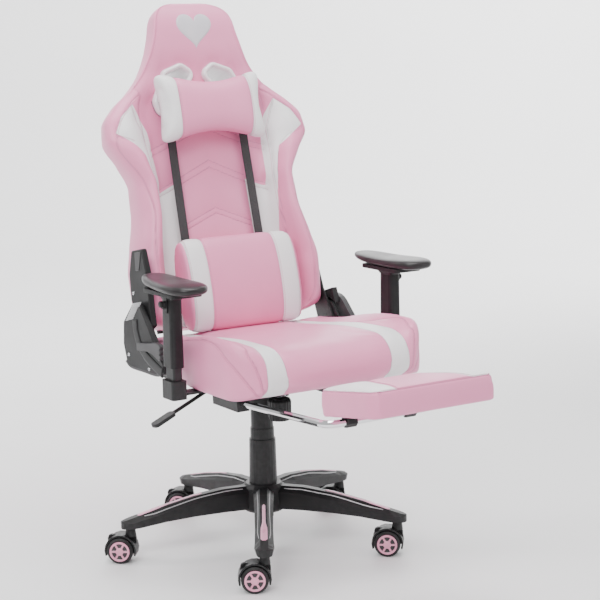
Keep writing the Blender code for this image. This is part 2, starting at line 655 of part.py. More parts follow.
# ---------------------------------------------------------------- footrest
def footrest(tilt):
    """A bent tube that slides under the seat, and a pad that turns on the tube's front."""
    run = pivot("footrest_slide", (0, 0, 0), tilt)
    rear = Vector((0, (RAIL_REAR - BAR_Y) / cos(RAIL_SLOPE), 0))
    ends = [rail_bed() @ (rear + Vector((x, 0, 0))) for x in (-RAIL_X, RAIL_X)]
    corners = [ends[0], (-RAIL_X, BAR_Y, BAR_Z), (RAIL_X, BAR_Y, BAR_Z), ends[1]]
    tube("footrest_rails", bend(corners, 0.028, 4), RAIL_R, CHROME, run, sides=3)
    flip = pivot("footrest_flip", (0, BAR_Y, BAR_Z), run)
    rise, thick, deep, rear_edge = 0.020, 0.058, 0.2035, -0.002
    lean = Matrix.Rotation(-PAD_TILT, 4, "X")
    slab = prism(shift(block(0.143, deep / 2, 0.025, 4), 0, rear_edge - deep / 2), rise, rise + thick)
    slab.transform(lean)
    place("footrest_pad", slab, PINK, flip)
    plate_low = rise - 0.0045
    strip = [(-0.045, plate_low), (0.0115, plate_low), (0.0115, rise - GAP), (-0.045, rise - GAP)]
    bed = prism(strip, -0.095, 0.095, along="X")
    bed.transform(lean)
    saddle = place("footrest_hinge", bed, BLACK, flip)
    jaw = 0.0115
    outline = [(-jaw, -0.004), (-0.004, -jaw), (0.004, -jaw), (jaw, -0.004)]
    outline += [(jaw, rise - 0.002), (-jaw, rise - 0.002)]
    clamps = joined(*[prism(outline, x - 0.012, x + 0.012, along="X") for x in (-0.075, 0.075)])
    clamps.transform(lean)
    shape(saddle, "UNION", clamps)
    shape(saddle, "DIFFERENCE", rod(RAIL_R + GAP, -0.1, 0.1, about="X", steps=16))


# ---------------------------------------------------------------- the chair
def build():
    root = pivot("column_axis", (0, 0, 0))
    base(root)
    gas_lift(root)
    mechanism(root)
    height_lever(root)
    tilt = pivot("tilt_pivot", TILT_PIVOT, root)
    seat(tilt)
    hinge = pivot("seat_side_of_hinge", HINGE, tilt)
    back = pivot("back_pivot", HINGE, tilt, (-RECLINE, 0, 0))
    for name, side in SIDES:
        recliner(name, side, hinge, back)
        arm(name, side, tilt)
    recline_lever(hinge)
    back_rest(back)
    pillow("lumbar_pillow", 0.150, (-0.064, 0.020), (0.006, 0.214), 0.0, PINK, back)
    pillow("head_pillow", 0.132, (-0.066, 0.010), (0.455, 0.590), 0.18, PINK, back)
    footrest(tilt)
    root.location.x, root.location.y = COLUMN


build()
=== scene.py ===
# %% [markdown]
# # A pink and white reclining chair on a star base
# The frame of this scene is an assembly of real parts: it is loaded first and never moved.
# Everything after that is cloth, foam, trim and finish, laid over that frame.

# %% Load the frame
import json
import math

import bpy
import numpy as np
from mathutils import Matrix, Vector


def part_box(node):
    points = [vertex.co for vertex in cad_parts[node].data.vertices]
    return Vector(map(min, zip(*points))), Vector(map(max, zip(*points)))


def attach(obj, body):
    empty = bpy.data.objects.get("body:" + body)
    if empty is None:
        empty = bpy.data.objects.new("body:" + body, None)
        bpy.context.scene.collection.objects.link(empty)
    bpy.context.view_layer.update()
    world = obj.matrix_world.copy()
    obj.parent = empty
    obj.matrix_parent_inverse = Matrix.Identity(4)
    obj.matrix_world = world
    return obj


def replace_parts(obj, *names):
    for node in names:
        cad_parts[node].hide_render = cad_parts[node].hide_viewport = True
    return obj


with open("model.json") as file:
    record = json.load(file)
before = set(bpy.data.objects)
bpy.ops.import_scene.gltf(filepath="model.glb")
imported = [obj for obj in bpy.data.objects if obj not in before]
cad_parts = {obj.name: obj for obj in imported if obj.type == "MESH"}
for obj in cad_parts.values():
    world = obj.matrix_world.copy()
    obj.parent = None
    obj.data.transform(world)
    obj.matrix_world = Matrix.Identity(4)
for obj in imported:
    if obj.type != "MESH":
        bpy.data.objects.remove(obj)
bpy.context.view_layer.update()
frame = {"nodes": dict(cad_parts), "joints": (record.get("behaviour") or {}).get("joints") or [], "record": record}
NODES = frame["nodes"]
low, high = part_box("lift_piston_rod")
COLUMN = np.array([(low.x + high.x) / 2, (low.y + high.y) / 2, 0.0])
SIDES = (("left", -1), ("right", 1))

# %% [markdown]
# ## Camera
# A long lens a little above the seat, turned towards the sitter's right. The camera's three
# axes are written as a matrix, so that its small roll is kept.

# %% Camera
EYE_TURN, EYE_AWAY, EYE_HIGH = -0.53871, 3.69352, 1.19705
PITCH, YAW, ROLL, LENS = 0.16568, -0.02539, -0.019435, 98.0


def aim_camera():
    """Stands the camera on a circle about the column and builds its axes from yaw, pitch and roll."""
    eye = Vector((math.sin(EYE_TURN) * EYE_AWAY, -math.cos(EYE_TURN) * EYE_AWAY, EYE_HIGH))
    turn = EYE_TURN + YAW
    ahead = Vector((-math.sin(turn) * math.cos(PITCH), math.cos(turn) * math.cos(PITCH), -math.sin(PITCH)))
    right = Vector((math.cos(turn), math.sin(turn), 0))
    up = right.cross(ahead)
    across = right * math.cos(ROLL) + up * math.sin(ROLL)
    upward = up * math.cos(ROLL) - right * math.sin(ROLL)
    camera = bpy.data.objects.new("camera", bpy.data.cameras.new("camera"))
    axes = Matrix((across, upward, -ahead)).transposed().to_4x4()
    camera.matrix_world = Matrix.Translation(eye + Vector(COLUMN)) @ axes
    camera.data.lens = LENS
    camera.data.sensor_width = 36.0
    bpy.context.scene.collection.objects.link(camera)
    bpy.context.scene.camera = camera
    return camera


print("camera at", tuple(round(c, 3) for c in aim_camera().location))


# %% Mesh helpers
def grid_faces(rows, cols, wrap=True):
    """Quads of a grid of points; with wrap the last column joins the first."""
    r = np.arange(rows - 1)[:, None]
    c = np.arange(cols if wrap else cols - 1)[None, :]
    following = (c + 1) % cols
    corners = [r * cols + c, r * cols + following, (r + 1) * cols + following, (r + 1) * cols + c]
    return np.stack(np.broadcast_arrays(*corners), -1).reshape(-1, 4)


def add_mesh(name, points, faces, material=None, smooth=True):
    """Puts points and faces (a list of arrays of quads or triangles) into a new mesh object."""
    faces = faces if isinstance(faces, list) else [faces]
    loops = np.concatenate([f.reshape(-1) for f in faces]).astype(np.int32)
    sizes = np.concatenate([np.full(len(f), f.shape[1]) for f in faces])
    mesh = bpy.data.meshes.new(name)
    mesh.vertices.add(len(points))
    mesh.vertices.foreach_set("co", np.ascontiguousarray(points, np.float32).reshape(-1))
    mesh.loops.add(len(loops))
    mesh.loops.foreach_set("vertex_index", loops)
    mesh.polygons.add(len(sizes))
    mesh.polygons.foreach_set("loop_start", (np.cumsum(sizes) - sizes).astype(np.int32))
    mesh.polygons.foreach_set("use_smooth", np.full(len(sizes), smooth))
    mesh.update(calc_edges=True)
    mesh.validate()
    piece = bpy.data.objects.new(name, mesh)
    bpy.context.scene.collection.objects.link(piece)
    if material:
        mesh.materials.append(material)
    return piece


def closed_loft(rows):
    """Points and faces of a tube of rings (rows, columns, 3) whose two ends close on their middle points."""
    count, cols = rows.shape[:2]
    points = np.concatenate([rows.reshape(-1, 3), rows[:1].mean(1), rows[-1:].mean(1)])
    k = np.arange(cols)
    first = np.stack([(k + 1) % cols, k, np.full(cols, count * cols)], -1)
    end = (count - 1) * cols
    last = np.stack([end + k, end + (k + 1) % cols, np.full(cols, count * cols + 1)], -1)
    return points, [grid_faces(count, cols), np.concatenate([first, last])]


def outwards(piece):
    """Turns the faces of a closed mesh so that they point out, by the sign of its volume."""
    mesh = piece.data
    co = coords(piece)
    mesh.calc_loop_triangles()
    tris = np.empty(len(mesh.loop_triangles) * 3, np.int32)
    mesh.loop_triangles.foreach_get("vertices", tris)
    a, b, c = co[tris.reshape(-1, 3)].transpose(1, 0, 2)
    if np.einsum("ij,ij->i", a, np.cross(b, c)).sum() < 0:
        mesh.flip_normals()
    return piece


def solid(name, rows, material=None, place=None):
    """A closed loft of rows as a new object, facing out; place carries the points to the chair's frame."""
    points, faces = closed_loft(rows)
    return outwards(add_mesh(name, points if place is None else place(points), faces, material))


def on_column(points):
    """From the column's frame to the chair's: the same axes, moved by the column's place."""
    return points + COLUMN


def stand_in(piece, body, node_name, fill=None):
    """Rides the piece on a body, in place of a CAD node; with a fill it prints the piece's number of faces."""
    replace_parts(put(piece, body), node_name)
    if fill is not None:
        print(piece.name, len(piece.data.polygons), "faces")
    return piece


def put(piece, body):
    """Rides the piece on a body."""
    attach(piece, body)
    return piece


def coords(piece):
    """The piece's vertices as an array."""
    co = np.empty(len(piece.data.vertices) * 3, np.float32)
    piece.data.vertices.foreach_get("co", co)
    return co.reshape(-1, 3).astype(float)


def normals(piece):
    """The direction that each vertex faces."""
    found = np.empty(len(piece.data.vertices) * 3, np.float32)
    piece.data.vertices.foreach_get("normal", found)
    return found.reshape(-1, 3).astype(float)


def set_coords(piece, co):
    """Writes an array of points back into the piece."""
    piece.data.vertices.foreach_set("co", co.astype(np.float32).reshape(-1))
    piece.data.update()


def set_attribute(piece, name, values):
    """A number on every vertex, which a material reads by its name."""
    layer = piece.data.attributes.get(name) or piece.data.attributes.new(name, "FLOAT", "POINT")
    layer.data.foreach_set("value", np.asarray(values, np.float32))


def through(knots, values, at):
    """A smooth curve through values at knots that never swings past them: cubic pieces whose
    slopes are the weighted harmonic mean of the two straight slopes, and nought at a peak."""
    knots, values = np.asarray(knots, float), np.asarray(values, float)
    at = np.clip(np.asarray(at, float), knots[0], knots[-1])
    tail = (-1,) + (1,) * (values.ndim - 1)
    step = np.diff(knots)
    rise = np.diff(values, axis=0) / step.reshape(tail)
    w1, w2 = (2 * step[1:] + step[:-1]).reshape(tail), (step[1:] + 2 * step[:-1]).reshape(tail)
    with np.errstate(divide="ignore", invalid="ignore"):
        mean = (w1 + w2) / (w1 / rise[:-1] + w2 / rise[1:])
    inner = np.where(rise[:-1] * rise[1:] > 0, mean, 0.0)
    slope = np.concatenate([rise[:1], inner, rise[-1:]])
    k = np.clip(np.searchsorted(knots, at, side="right") - 1, 0, len(step) - 1)
    h = step[k].reshape(tail)
    t = ((at - knots[k]) / step[k]).reshape(tail)
    return (
        values[k] * (2 * t**3 - 3 * t**2 + 1) + values[k + 1] * (3 * t**2 - 2 * t**3)
        + h * slope[k] * (t**3 - 2 * t**2 + t) + h * slope[k + 1] * (t**3 - t**2)
    )


def around(corners, steps):
    """Closed rings through rows of corners (rows, n, 2): each stretch is a Catmull-Rom cubic of the
    corner before, its two ends and the corner after, and stretch k gets steps[k] points."""
    n = corners.shape[1]
    k = np.repeat(np.arange(n), steps)
    t = np.concatenate([np.arange(s) / s for s in steps])[None, :, None]
    a, b, c, d = (corners[:, (k + i) % n] for i in (-1, 0, 1, 2))
    return 0.5 * (2 * b + (c - a) * t + (2 * a - 5 * b + 4 * c - d) * t**2 + (3 * b - a - 3 * c + d) * t**3)


def polyline(points, spacing):
    """Points spaced evenly along a line through the given ones, rounded by a Catmull-Rom curve."""
    p = np.asarray(points, float)
    p = np.concatenate([2 * p[:1] - p[1:2], p, 2 * p[-1:] - p[-2:-1]])
    t = np.linspace(0, 1, 24, endpoint=False)[:, None]
    a, b, c, d = (p[i : len(p) - 3 + i, None] for i in range(4))
    fine = 0.5 * (2 * b + (c - a) * t + (2 * a - 5 * b + 4 * c - d) * t**2 + (3 * b - a - 3 * c + d) * t**3)
    fine = np.concatenate([fine.reshape(-1, p.shape[1]), p[-2:-1]])
    along = np.concatenate([[0], np.cumsum(np.linalg.norm(np.diff(fine, axis=0), axis=1))])
    want = np.linspace(0, along[-1], max(2, int(round(along[-1] / spacing)) + 1))
    return np.stack([np.interp(want, along, fine[:, i]) for i in range(p.shape[1])], -1)


def nearest(points, targets, block=1500):
    """For each point, how far the nearest target is, and which one it is."""
    far, which = np.empty(len(points)), np.empty(len(points), int)
    weight = (targets**2).sum(1)
    for start in range(0, len(points), block):
        part = points[start : start + block]
        squared = (part**2).sum(1)[:, None] + weight[None] - 2 * part @ targets.T
        which[start : start + block] = squared.argmin(1)
        far[start : start + block] = np.sqrt(np.maximum(squared.min(1), 0))
    return far, which


def inside_by(points, outline):
    """How far each 2-D point is inside a closed outline, negative outside: the least distance to
    its edges, with the sign from counting the edges that a level ray crosses."""
    a = np.asarray(outline, float)
    b = np.roll(a, -1, 0)
    p = points[:, None]
    t = np.clip(((p - a) * (b - a)).sum(2) / ((b - a) ** 2).sum(1), 0, 1)
    far = np.linalg.norm(p - a - t[..., None] * (b - a), axis=2).min(1)
    above = (a[:, 1] > p[..., 1]) != (b[:, 1] > p[..., 1])
    with np.errstate(divide="ignore", invalid="ignore"):
        cross = a[:, 0] + (p[..., 1] - a[:, 1]) / (b[:, 1] - a[:, 1]) * (b[:, 0] - a[:, 0])
    inside = (above & (p[..., 0] < cross)).sum(1) % 2 == 1
    return np.where(inside, far, -far)


def mirror_both(line):
    """A line and its mirror image across the middle of the chair."""
    line = np.asarray(line, float)
    return [line, line * np.array([-1] + [1] * (line.shape[1] - 1))]


# %% [markdown]
# ## Finishes
# Each finish is a Principled shader of its own. Effects that several of them share are node
# groups: a fine grain that moves a bump, a slow mottle that shifts a colour, and a mask that
# turns a distance kept on the vertices into a crisp edge between two leathers.

# %% Node helpers
def link(tree, value, socket):
    """Feeds a socket from another socket, or sets it to a constant."""
    if isinstance(value, bpy.types.NodeSocket):
        tree.links.new(value, socket)
    else:
        socket.default_value = value


def node(tree, kind, inputs=None, **settings):
    """Adds a node, with its settings and its inputs by name or number."""
    made = tree.nodes.new("ShaderNode" + kind)
    for key, value in settings.items():
        setattr(made, key, value)
    for key, value in (inputs or {}).items():
        link(tree, value, made.inputs[key])
    return made


def new_group(name, inputs, outputs):
    """An empty node group with named sockets: (tree, its input node, its output node)."""
    tree = bpy.data.node_groups.new(name, "ShaderNodeTree")
    for key, kind, value in inputs:
        socket = tree.interface.new_socket(key, in_out="INPUT", socket_type="NodeSocket" + kind)
        socket.default_value = value
    for key, kind in outputs:
        tree.interface.new_socket(key, in_out="OUTPUT", socket_type="NodeSocket" + kind)
    return tree, tree.nodes.new("NodeGroupInput"), tree.nodes.new("NodeGroupOutput")


def use_group(tree, name, **inputs):
    """Places a group in a material, with its own values."""
    made = tree.nodes.new("ShaderNodeGroup")
    made.node_tree = bpy.data.node_groups[name]
    for key, value in inputs.items():
        link(tree, value, made.inputs[key.replace("_", " ")])
    return made


# %% Shared effects
def build_grain():
    """Leather grain: cells a millimetre or so across, softened by noise, as a height from 0 to 1."""
    tree, given, result = new_group("grain", [("Scale", "Float", 900.0), ("Detail", "Float", 2.0)],
                                    [("Height", "Float")])
    place = node(tree, "TexCoord").outputs["Object"]
    wobble = node(tree, "TexNoise", {"Vector": place, "Scale": 60.0, "Detail": 2.0})
    shifted = node(tree, "MixRGB", {"Fac": 0.004, "Color1": place, "Color2": wobble.outputs["Color"]})
    cells = node(tree, "TexVoronoi", {"Vector": shifted.outputs[0], "Scale": given.outputs["Scale"]},
                 feature="SMOOTH_F1")
    pores = node(tree, "TexNoise", {"Vector": place, "Scale": given.outputs["Scale"],
                                    "Detail": given.outputs["Detail"]})
    both = node(tree, "Math", {0: cells.outputs["Distance"], 1: pores.outputs["Fac"]}, operation="ADD")
    half = node(tree, "Math", {0: both.outputs[0], 1: 0.5}, operation="MULTIPLY")
    tree.links.new(half.outputs[0], result.inputs["Height"])


def build_mottle():
    """A slow drift between a colour and a slightly different one, with its mask for roughness."""
    sockets = [("Color", "Color", (1, 1, 1, 1)), ("Other", "Color", (1, 1, 1, 1)), ("Scale", "Float", 8.0)]
    tree, given, result = new_group("mottle", sockets, [("Color", "Color"), ("Mask", "Float")])
    place = node(tree, "TexCoord").outputs["Object"]
    noise = node(tree, "TexNoise", {"Vector": place, "Scale": given.outputs["Scale"], "Detail": 3.0})
    mask = node(tree, "MapRange", {"Value": noise.outputs["Fac"], "From Min": 0.35, "From Max": 0.65})
    colours = {"Fac": mask.outputs[0], "Color1": given.outputs["Color"], "Color2": given.outputs["Other"]}
    tree.links.new(node(tree, "MixRGB", colours).outputs[0], result.inputs["Color"])
    tree.links.new(mask.outputs[0], result.inputs["Mask"])


def build_border():
    """A mask from a distance in millimetres stored on the vertices: 0 outside, 1 inside, half on the line."""
    tree, given, result = new_group("border", [("Distance", "Float", 0.0), ("Soft", "Float", 0.25)],
                                    [("Mask", "Float")])
    below = node(tree, "Math", {0: given.outputs["Soft"], 1: -1.0}, operation="MULTIPLY")
    ramp = {"Value": given.outputs["Distance"], "From Min": below.outputs[0],
            "From Max": given.outputs["Soft"]}
    tree.links.new(node(tree, "MapRange", ramp).outputs[0], result.inputs["Mask"])


def build_wear():
    """Where edges and bumps stand out they are rubbed: a mask from the surface's own pointiness and noise."""
    tree, given, result = new_group("wear", [("Amount", "Float", 0.5)], [("Mask", "Float")])
    sharp = node(tree, "NewGeometry").outputs["Pointiness"]
    place = node(tree, "TexCoord").outputs["Object"]
    noise = node(tree, "TexNoise", {"Vector": place, "Scale": 90.0, "Detail": 4.0})
    edge = node(tree, "MapRange", {"Value": sharp, "From Min": 0.52, "From Max": 0.60})
    both = node(tree, "Math", {0: edge.outputs[0], 1: noise.outputs["Fac"]}, operation="MULTIPLY")
    scaled = node(tree, "Math", {0: both.outputs[0], 1: given.outputs["Amount"]}, operation="MULTIPLY")
    tree.links.new(scaled.outputs[0], result.inputs["Mask"])


for build in (build_grain, build_mottle, build_border, build_wear):
    build()
print("groups:", [g.name for g in bpy.data.node_groups])


# %% Finish helper
def shader(name, **constants):
    """A new material with a Principled shader, its constants set on the shader's own sockets."""
    material = bpy.data.materials.new(name)
    material.use_nodes = True
    principled = material.node_tree.nodes["Principled BSDF"]
    for key, value in constants.items():
        principled.inputs[key.replace("_", " ")].default_value = value
    return material, material.node_tree, principled


def bump(tree, principled, height, distance, strength=1.0, under=None):
    """Sends a height through a Bump node of that depth in metres to the shader's normal."""
    inputs = {"Height": height, "Distance": distance, "Strength": strength}
    if under is not None:
        inputs["Normal"] = under
    made = node(tree, "Bump", inputs)
    tree.links.new(made.outputs[0], principled.inputs["Normal"])
    return made.outputs[0]


# %% Leather in two colours
PINK, PINK_DEEP = (0.86, 0.290, 0.485, 1), (0.82, 0.265, 0.455, 1)
WHITE, WHITE_DEEP = (0.86, 0.855, 0.86, 1), (0.82, 0.81, 0.82, 1)


def leather():
    """Pink synthetic leather that turns white where the vertices' white distance is positive, and is painted
    darker along its seams as shade.
    """
    material, tree, principled = shader("two_tone_leather", Coat_Weight=0.12, Coat_Roughness=0.35)
    principled.inputs["Specular IOR Level"].default_value = 0.45
    white = node(tree, "Attribute", attribute_name="white").outputs["Fac"]
    seam = node(tree, "Attribute", attribute_name="seam").outputs["Fac"]
    mask = use_group(tree, "border", Distance=white, Soft=0.35).outputs["Mask"]
    pink = use_group(tree, "mottle", Color=PINK, Other=PINK_DEEP, Scale=7.0)
    pale = use_group(tree, "mottle", Color=WHITE, Other=WHITE_DEEP, Scale=7.0)
    colours = {"Fac": mask, "Color1": pink.outputs["Color"], "Color2": pale.outputs["Color"]}
    panels = node(tree, "MixRGB", colours).outputs[0]
    # Painted shade: within about 2 mm of a seam the colour is multiplied down to 0.72, standing in for the shade
    # in the seam's groove.
    seam_shade = node(tree, "MapRange", {"Value": seam, "From Min": 0.2, "From Max": 2.2, "To Min": 0.72,
                                     "To Max": 1.0})
    shaded = node(tree, "MixRGB", {"Fac": 1.0, "Color1": panels, "Color2": seam_shade.outputs[0]},
                  blend_type="MULTIPLY")
    tree.links.new(shaded.outputs[0], principled.inputs["Base Color"])
    rough = node(tree, "MapRange", {"Value": pink.outputs["Mask"], "To Min": 0.40, "To Max": 0.47})
    tree.links.new(rough.outputs[0], principled.inputs["Roughness"])
    groove = node(tree, "MapRange", {"Value": seam, "From Min": 0.0, "From Max": 1.4},
                  interpolation_type="SMOOTHSTEP")
    sunk = bump(tree, principled, groove.outputs[0], 0.0009)
    bump(tree, principled, use_group(tree, "grain", Scale=850.0).outputs["Height"], 0.00022, 0.6, sunk)
    return material


RUBBED_GREY = (0.2, 0.2, 0.2, 1)


def plastic(name, colour, other, rough, grain, scale, wear, constants):
    """A moulded plastic or a painted metal: a mottled colour, a fine texture and rubbed edges."""
    material, tree, principled = shader(name, **constants)
    base = use_group(tree, "mottle", Color=colour + (1,), Other=other + (1,), Scale=14.0)
    rubbed = use_group(tree, "wear", Amount=wear).outputs["Mask"]
    colours = {"Fac": rubbed, "Color1": base.outputs["Color"], "Color2": RUBBED_GREY}
    tree.links.new(node(tree, "MixRGB", colours).outputs[0], principled.inputs["Base Color"])
    drift = node(tree, "MapRange", {"Value": base.outputs["Mask"], "To Min": rough - 0.04,
                                    "To Max": rough + 0.04})
    tree.links.new(drift.outputs[0], principled.inputs["Roughness"])
    bump(tree, principled, use_group(tree, "grain", Scale=scale).outputs["Height"], grain, 0.6)
    return material


def metal(name, colour, rough, across):
    """Bright metal with faint lines from grinding or drawing, stretched along one way of the piece."""
    material, tree, principled = shader(name, Metallic=1.0)
    place = node(tree, "TexCoord").outputs["Object"]
    stretched = node(tree, "Mapping", {"Vector": place, "Scale": across}).outputs[0]
    lines = node(tree, "TexNoise", {"Vector": stretched, "Scale": 60.0, "Detail": 3.0}).outputs["Fac"]
    tone = use_group(tree, "mottle", Color=colour, Other=tuple(0.94 * c for c in colour[:3]) + (1,),
                     Scale=10.0)
    tree.links.new(tone.outputs["Color"], principled.inputs["Base Color"])
    drift = node(tree, "MapRange", {"Value": lines, "To Min": rough * 0.8, "To Max": rough * 1.3})
    tree.links.new(drift.outputs[0], principled.inputs["Roughness"])
    bump(tree, principled, lines, 0.00002, 0.5)
    return material


def woven(name, dark, light):
    """Webbing: ribs along the strap crossed by a finer weft, from the strap's own UV map."""
    material, tree, principled = shader(name, Roughness=0.75, Sheen_Weight=0.25, Sheen_Roughness=0.5)
    parts = node(tree, "SeparateXYZ", {0: node(tree, "UVMap").outputs[0]})
    waves = [node(tree, "Math", {0: parts.outputs[k]}, operation="SINE").outputs[0] for k in (0, 1)]
    weave = node(tree, "Math", {0: waves[0], 1: waves[1]}, operation="MULTIPLY").outputs[0]
    height = node(tree, "MapRange", {"Value": weave, "From Min": -1.0, "From Max": 1.0}).outputs[0]
    tree.links.new(node(tree, "MixRGB", {"Fac": height, "Color1": dark, "Color2": light}).outputs[0],
                   principled.inputs["Base Color"])
    bump(tree, principled, height, 0.0004)
    return material


LEATHER = leather()
PLASTICS = {  # colour, the colour it drifts to, roughness, grain depth, grain scale, wear, constants
    "black_nylon": ((0.007, 0.007, 0.008), (0.010, 0.0095, 0.010), 0.40, 0.00010, 1300.0, 0.12,
                    {"Specular_IOR_Level": 0.28}),
    "cover_black": ((0.010, 0.010, 0.011), (0.013, 0.0125, 0.013), 0.46, 0.00012, 900.0, 0.12,
                    {"Specular_IOR_Level": 0.28}),
    "cover_grey": ((0.045, 0.044, 0.047), (0.055, 0.054, 0.057), 0.45, 0.00012, 900.0, 0.15,
                   {"Specular_IOR_Level": 0.4}),
    "silver_trim": ((0.42, 0.42, 0.43), (0.47, 0.47, 0.48), 0.35, 0.0001, 1300.0, 0.2, {"Metallic": 0.6}),
    "black_paint": ((0.008, 0.008, 0.008), (0.010, 0.010, 0.011), 0.38, 0.00010, 700.0, 0.15,
                    {"Specular_IOR_Level": 0.35}),
    "soft_black_skin": ((0.014, 0.012, 0.013), (0.018, 0.015, 0.016), 0.36, 0.00006, 1500.0, 0.0,
                        {"Specular_IOR_Level": 0.4}),
    "tread_rubber": ((0.010, 0.010, 0.010), (0.014, 0.013, 0.014), 0.50, 0.0001, 1000.0, 0.0,
                     {"Specular_IOR_Level": 0.35}),
    "pink_plastic": ((0.83, 0.40, 0.55), (0.80, 0.37, 0.52), 0.28, 0.00005, 900.0, 0.0,
                     {"Coat_Weight": 0.3}),
    "white_plastic": ((0.84, 0.84, 0.85), (0.80, 0.80, 0.81), 0.16, 0.00004, 500.0, 0.0,
                      {"Coat_Weight": 0.5}),
    "pink_thread": ((0.60, 0.22, 0.36), (0.55, 0.19, 0.32), 0.6, 0.00008, 3000.0, 0.0, {}),
    "silver_thread": ((0.62, 0.60, 0.64), (0.54, 0.52, 0.57), 0.42, 0.0001, 3000.0, 0.0,
                      {"Sheen_Weight": 0.4}),
}
(BLACK, COVER_BLACK, COVER_GREY, SILVER, PAINT, SKIN, RUBBER, PINK_PLASTIC, WHITE_PLASTIC, THREAD,
 SILVER_THREAD) = (plastic(name, *row) for name, row in PLASTICS.items())
CHROME = metal("chrome_tube", (0.86, 0.86, 0.88, 1), 0.06, (1, 0.05, 1))
STEEL = metal("ground_steel", (0.62, 0.62, 0.64, 1), 0.24, (1, 1, 30))
WEBBING = woven("black_webbing", (0.010, 0.010, 0.011, 1), (0.045, 0.045, 0.048, 1))
print(len(bpy.data.materials), "finishes")


# %% [markdown]
# ## Sewing
# Upholstery is panels of leather pulled together along seams. Each seam here is a line of points
# snapped to the cover. The cover sinks towards the line and swells between lines, and each
# stitch of thread is a small piece of its own that lies beside the seam and dives in at both ends.

# %% Sewing tools
from mathutils.bvhtree import BVHTree


def snap(piece, line):
    """The closest points of the cover to a line, with the direction that the cover faces there."""
    tree = BVHTree.FromObject(piece, bpy.context.evaluated_depsgraph_get())
    found = [tree.find_nearest(Vector(p)) for p in line]
    return np.array([f[0] for f in found]), np.array([f[1] for f in found])


def sew(piece, lines, depth=0.0016, width=0.0030, puff=0.0030, reach=0.020):
    """Sinks the cover along the lines by a bell curve of the distance to them, and swells it
    elsewhere by what a second, wider bell leaves. Keeps the distance in mm as 'seam'."""
    targets = np.concatenate([snap(piece, polyline(line, 0.0015))[0] for line in lines])
    co = coords(piece)
    far, _ = nearest(co, targets)
    rise = puff * (1 - np.exp(-((far / reach) ** 2))) - puff
    sink = depth * np.exp(-((far / width) ** 2))
    set_coords(piece, co + normals(piece) * (rise - sink)[:, None])
    set_attribute(piece, "seam", far * 1000)
    return targets


STITCHES = {}


def stitch(piece, line, body, offsets=(0.0028,), pitch=0.0046, long=0.0034, thick=0.00048):
    """Lays threads beside a line: each is a five-sided rod bent down at its two ends."""
    path = polyline(line, pitch)
    co, facing = coords(piece), normals(piece)
    along = np.gradient(path, axis=0)
    along /= np.linalg.norm(along, axis=1)[:, None]
    _, close = nearest(path, co)
    side = np.cross(facing[close], along)
    side /= np.linalg.norm(side, axis=1)[:, None]
    for offset in offsets:
        spot = path + side * offset
        _, close = nearest(spot, co)
        up = facing[close]
        spot = spot - ((spot - co[close]) * up).sum(1)[:, None] * up
        run = along - (along * up).sum(1)[:, None] * up
        run /= np.linalg.norm(run, axis=1)[:, None]
        across = np.cross(up, run)
        t, lift = np.array([-0.5, -0.28, 0.28, 0.5]) * long, np.array([-0.3, 0.9, 0.9, -0.3]) * thick
        radius = np.array([0.5, 1.0, 1.0, 0.5]) * thick
        turn = 2 * np.pi * np.arange(5) / 5
        centre = spot[:, None] + t[None, :, None] * run[:, None] + lift[None, :, None] * up[:, None]
        ring = np.cos(turn)[:, None] * across[:, None, None] + np.sin(turn)[:, None] * up[:, None, None]
        STITCHES.setdefault(body, []).append(centre[:, :, None] + radius[None, :, None, None] * ring)


def thread_pieces():
    """One mesh of all the threads on each body: every rod's faces are the same grid, shifted."""
    for body, batches in STITCHES.items():
        rods = np.concatenate(batches)
        count, rings, sides = rods.shape[:3]
        shift = (np.arange(count) * rings * sides)[:, None, None]
        walls = (grid_faces(rings, sides)[None] + shift).reshape(-1, 4)
        ends = np.stack([np.arange(sides)[::-1], np.arange(sides) + (rings - 1) * sides])
        piece = add_mesh(f"stitching_{body}", rods.reshape(-1, 3),
                         [walls, (ends[None] + shift).reshape(-1, sides)], THREAD)
        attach(piece, body)
        print(piece.name, count, "stitches")


# %% [markdown]
# ## The back
# One moulded foam body with a leather cover. Its cross-section changes all the way up: flat
# lumbar panel between deep side wings, wide shoulders, a narrow neck and a headrest. So it is a
# loft: a ring of corners at each height, joined by smooth curves both ways, and rounded off at
# the two ends. It is worked out leaning on its own frame, then turned back to where it hinges.

# %% The back's own frame
RECLINE = math.radians(14.25)
HINGE = COLUMN + np.array([0, 0.085, 0.505])
LEAN = np.array(Matrix.Rotation(-RECLINE, 3, "X"))


def from_back(points):
    """From the back's frame (x across, y backwards, z up the back) to the chair's."""
    return np.asarray(points) @ LEAN.T + HINGE


def to_back(points):
    """From the chair's frame to the back's."""
    return (np.asarray(points) - HINGE) @ LEAN


# %% The back's shape
FACE, BACK_TOP, BACK_FOOT = 0.033, 0.7865, 0.010
BACK = np.array([  # height, half width, headrest lip, wing, thickness
    (0.000, 0.236, 0.000, 0.036, 0.084), (0.070, 0.2375, 0.000, 0.052, 0.085),
    (0.150, 0.2375, 0.000, 0.066, 0.085), (0.210, 0.226, 0.000, 0.066, 0.085),
    (0.300, 0.2085, 0.000, 0.061, 0.085), (0.350, 0.2085, 0.000, 0.057, 0.085),
    (0.410, 0.236, 0.000, 0.053, 0.085), (0.462, 0.266, 0.000, 0.046, 0.085),
    (0.500, 0.262, 0.000, 0.038, 0.082), (0.540, 0.231, 0.000, 0.026, 0.080),
    (0.575, 0.188, 0.003, 0.012, 0.078), (0.620, 0.147, 0.008, 0.003, 0.076),
    (0.680, 0.119, 0.022, 0.001, 0.070), (0.730, 0.106, 0.026, 0.000, 0.066),
    (0.790, 0.102, 0.024, 0.000, 0.060),
])


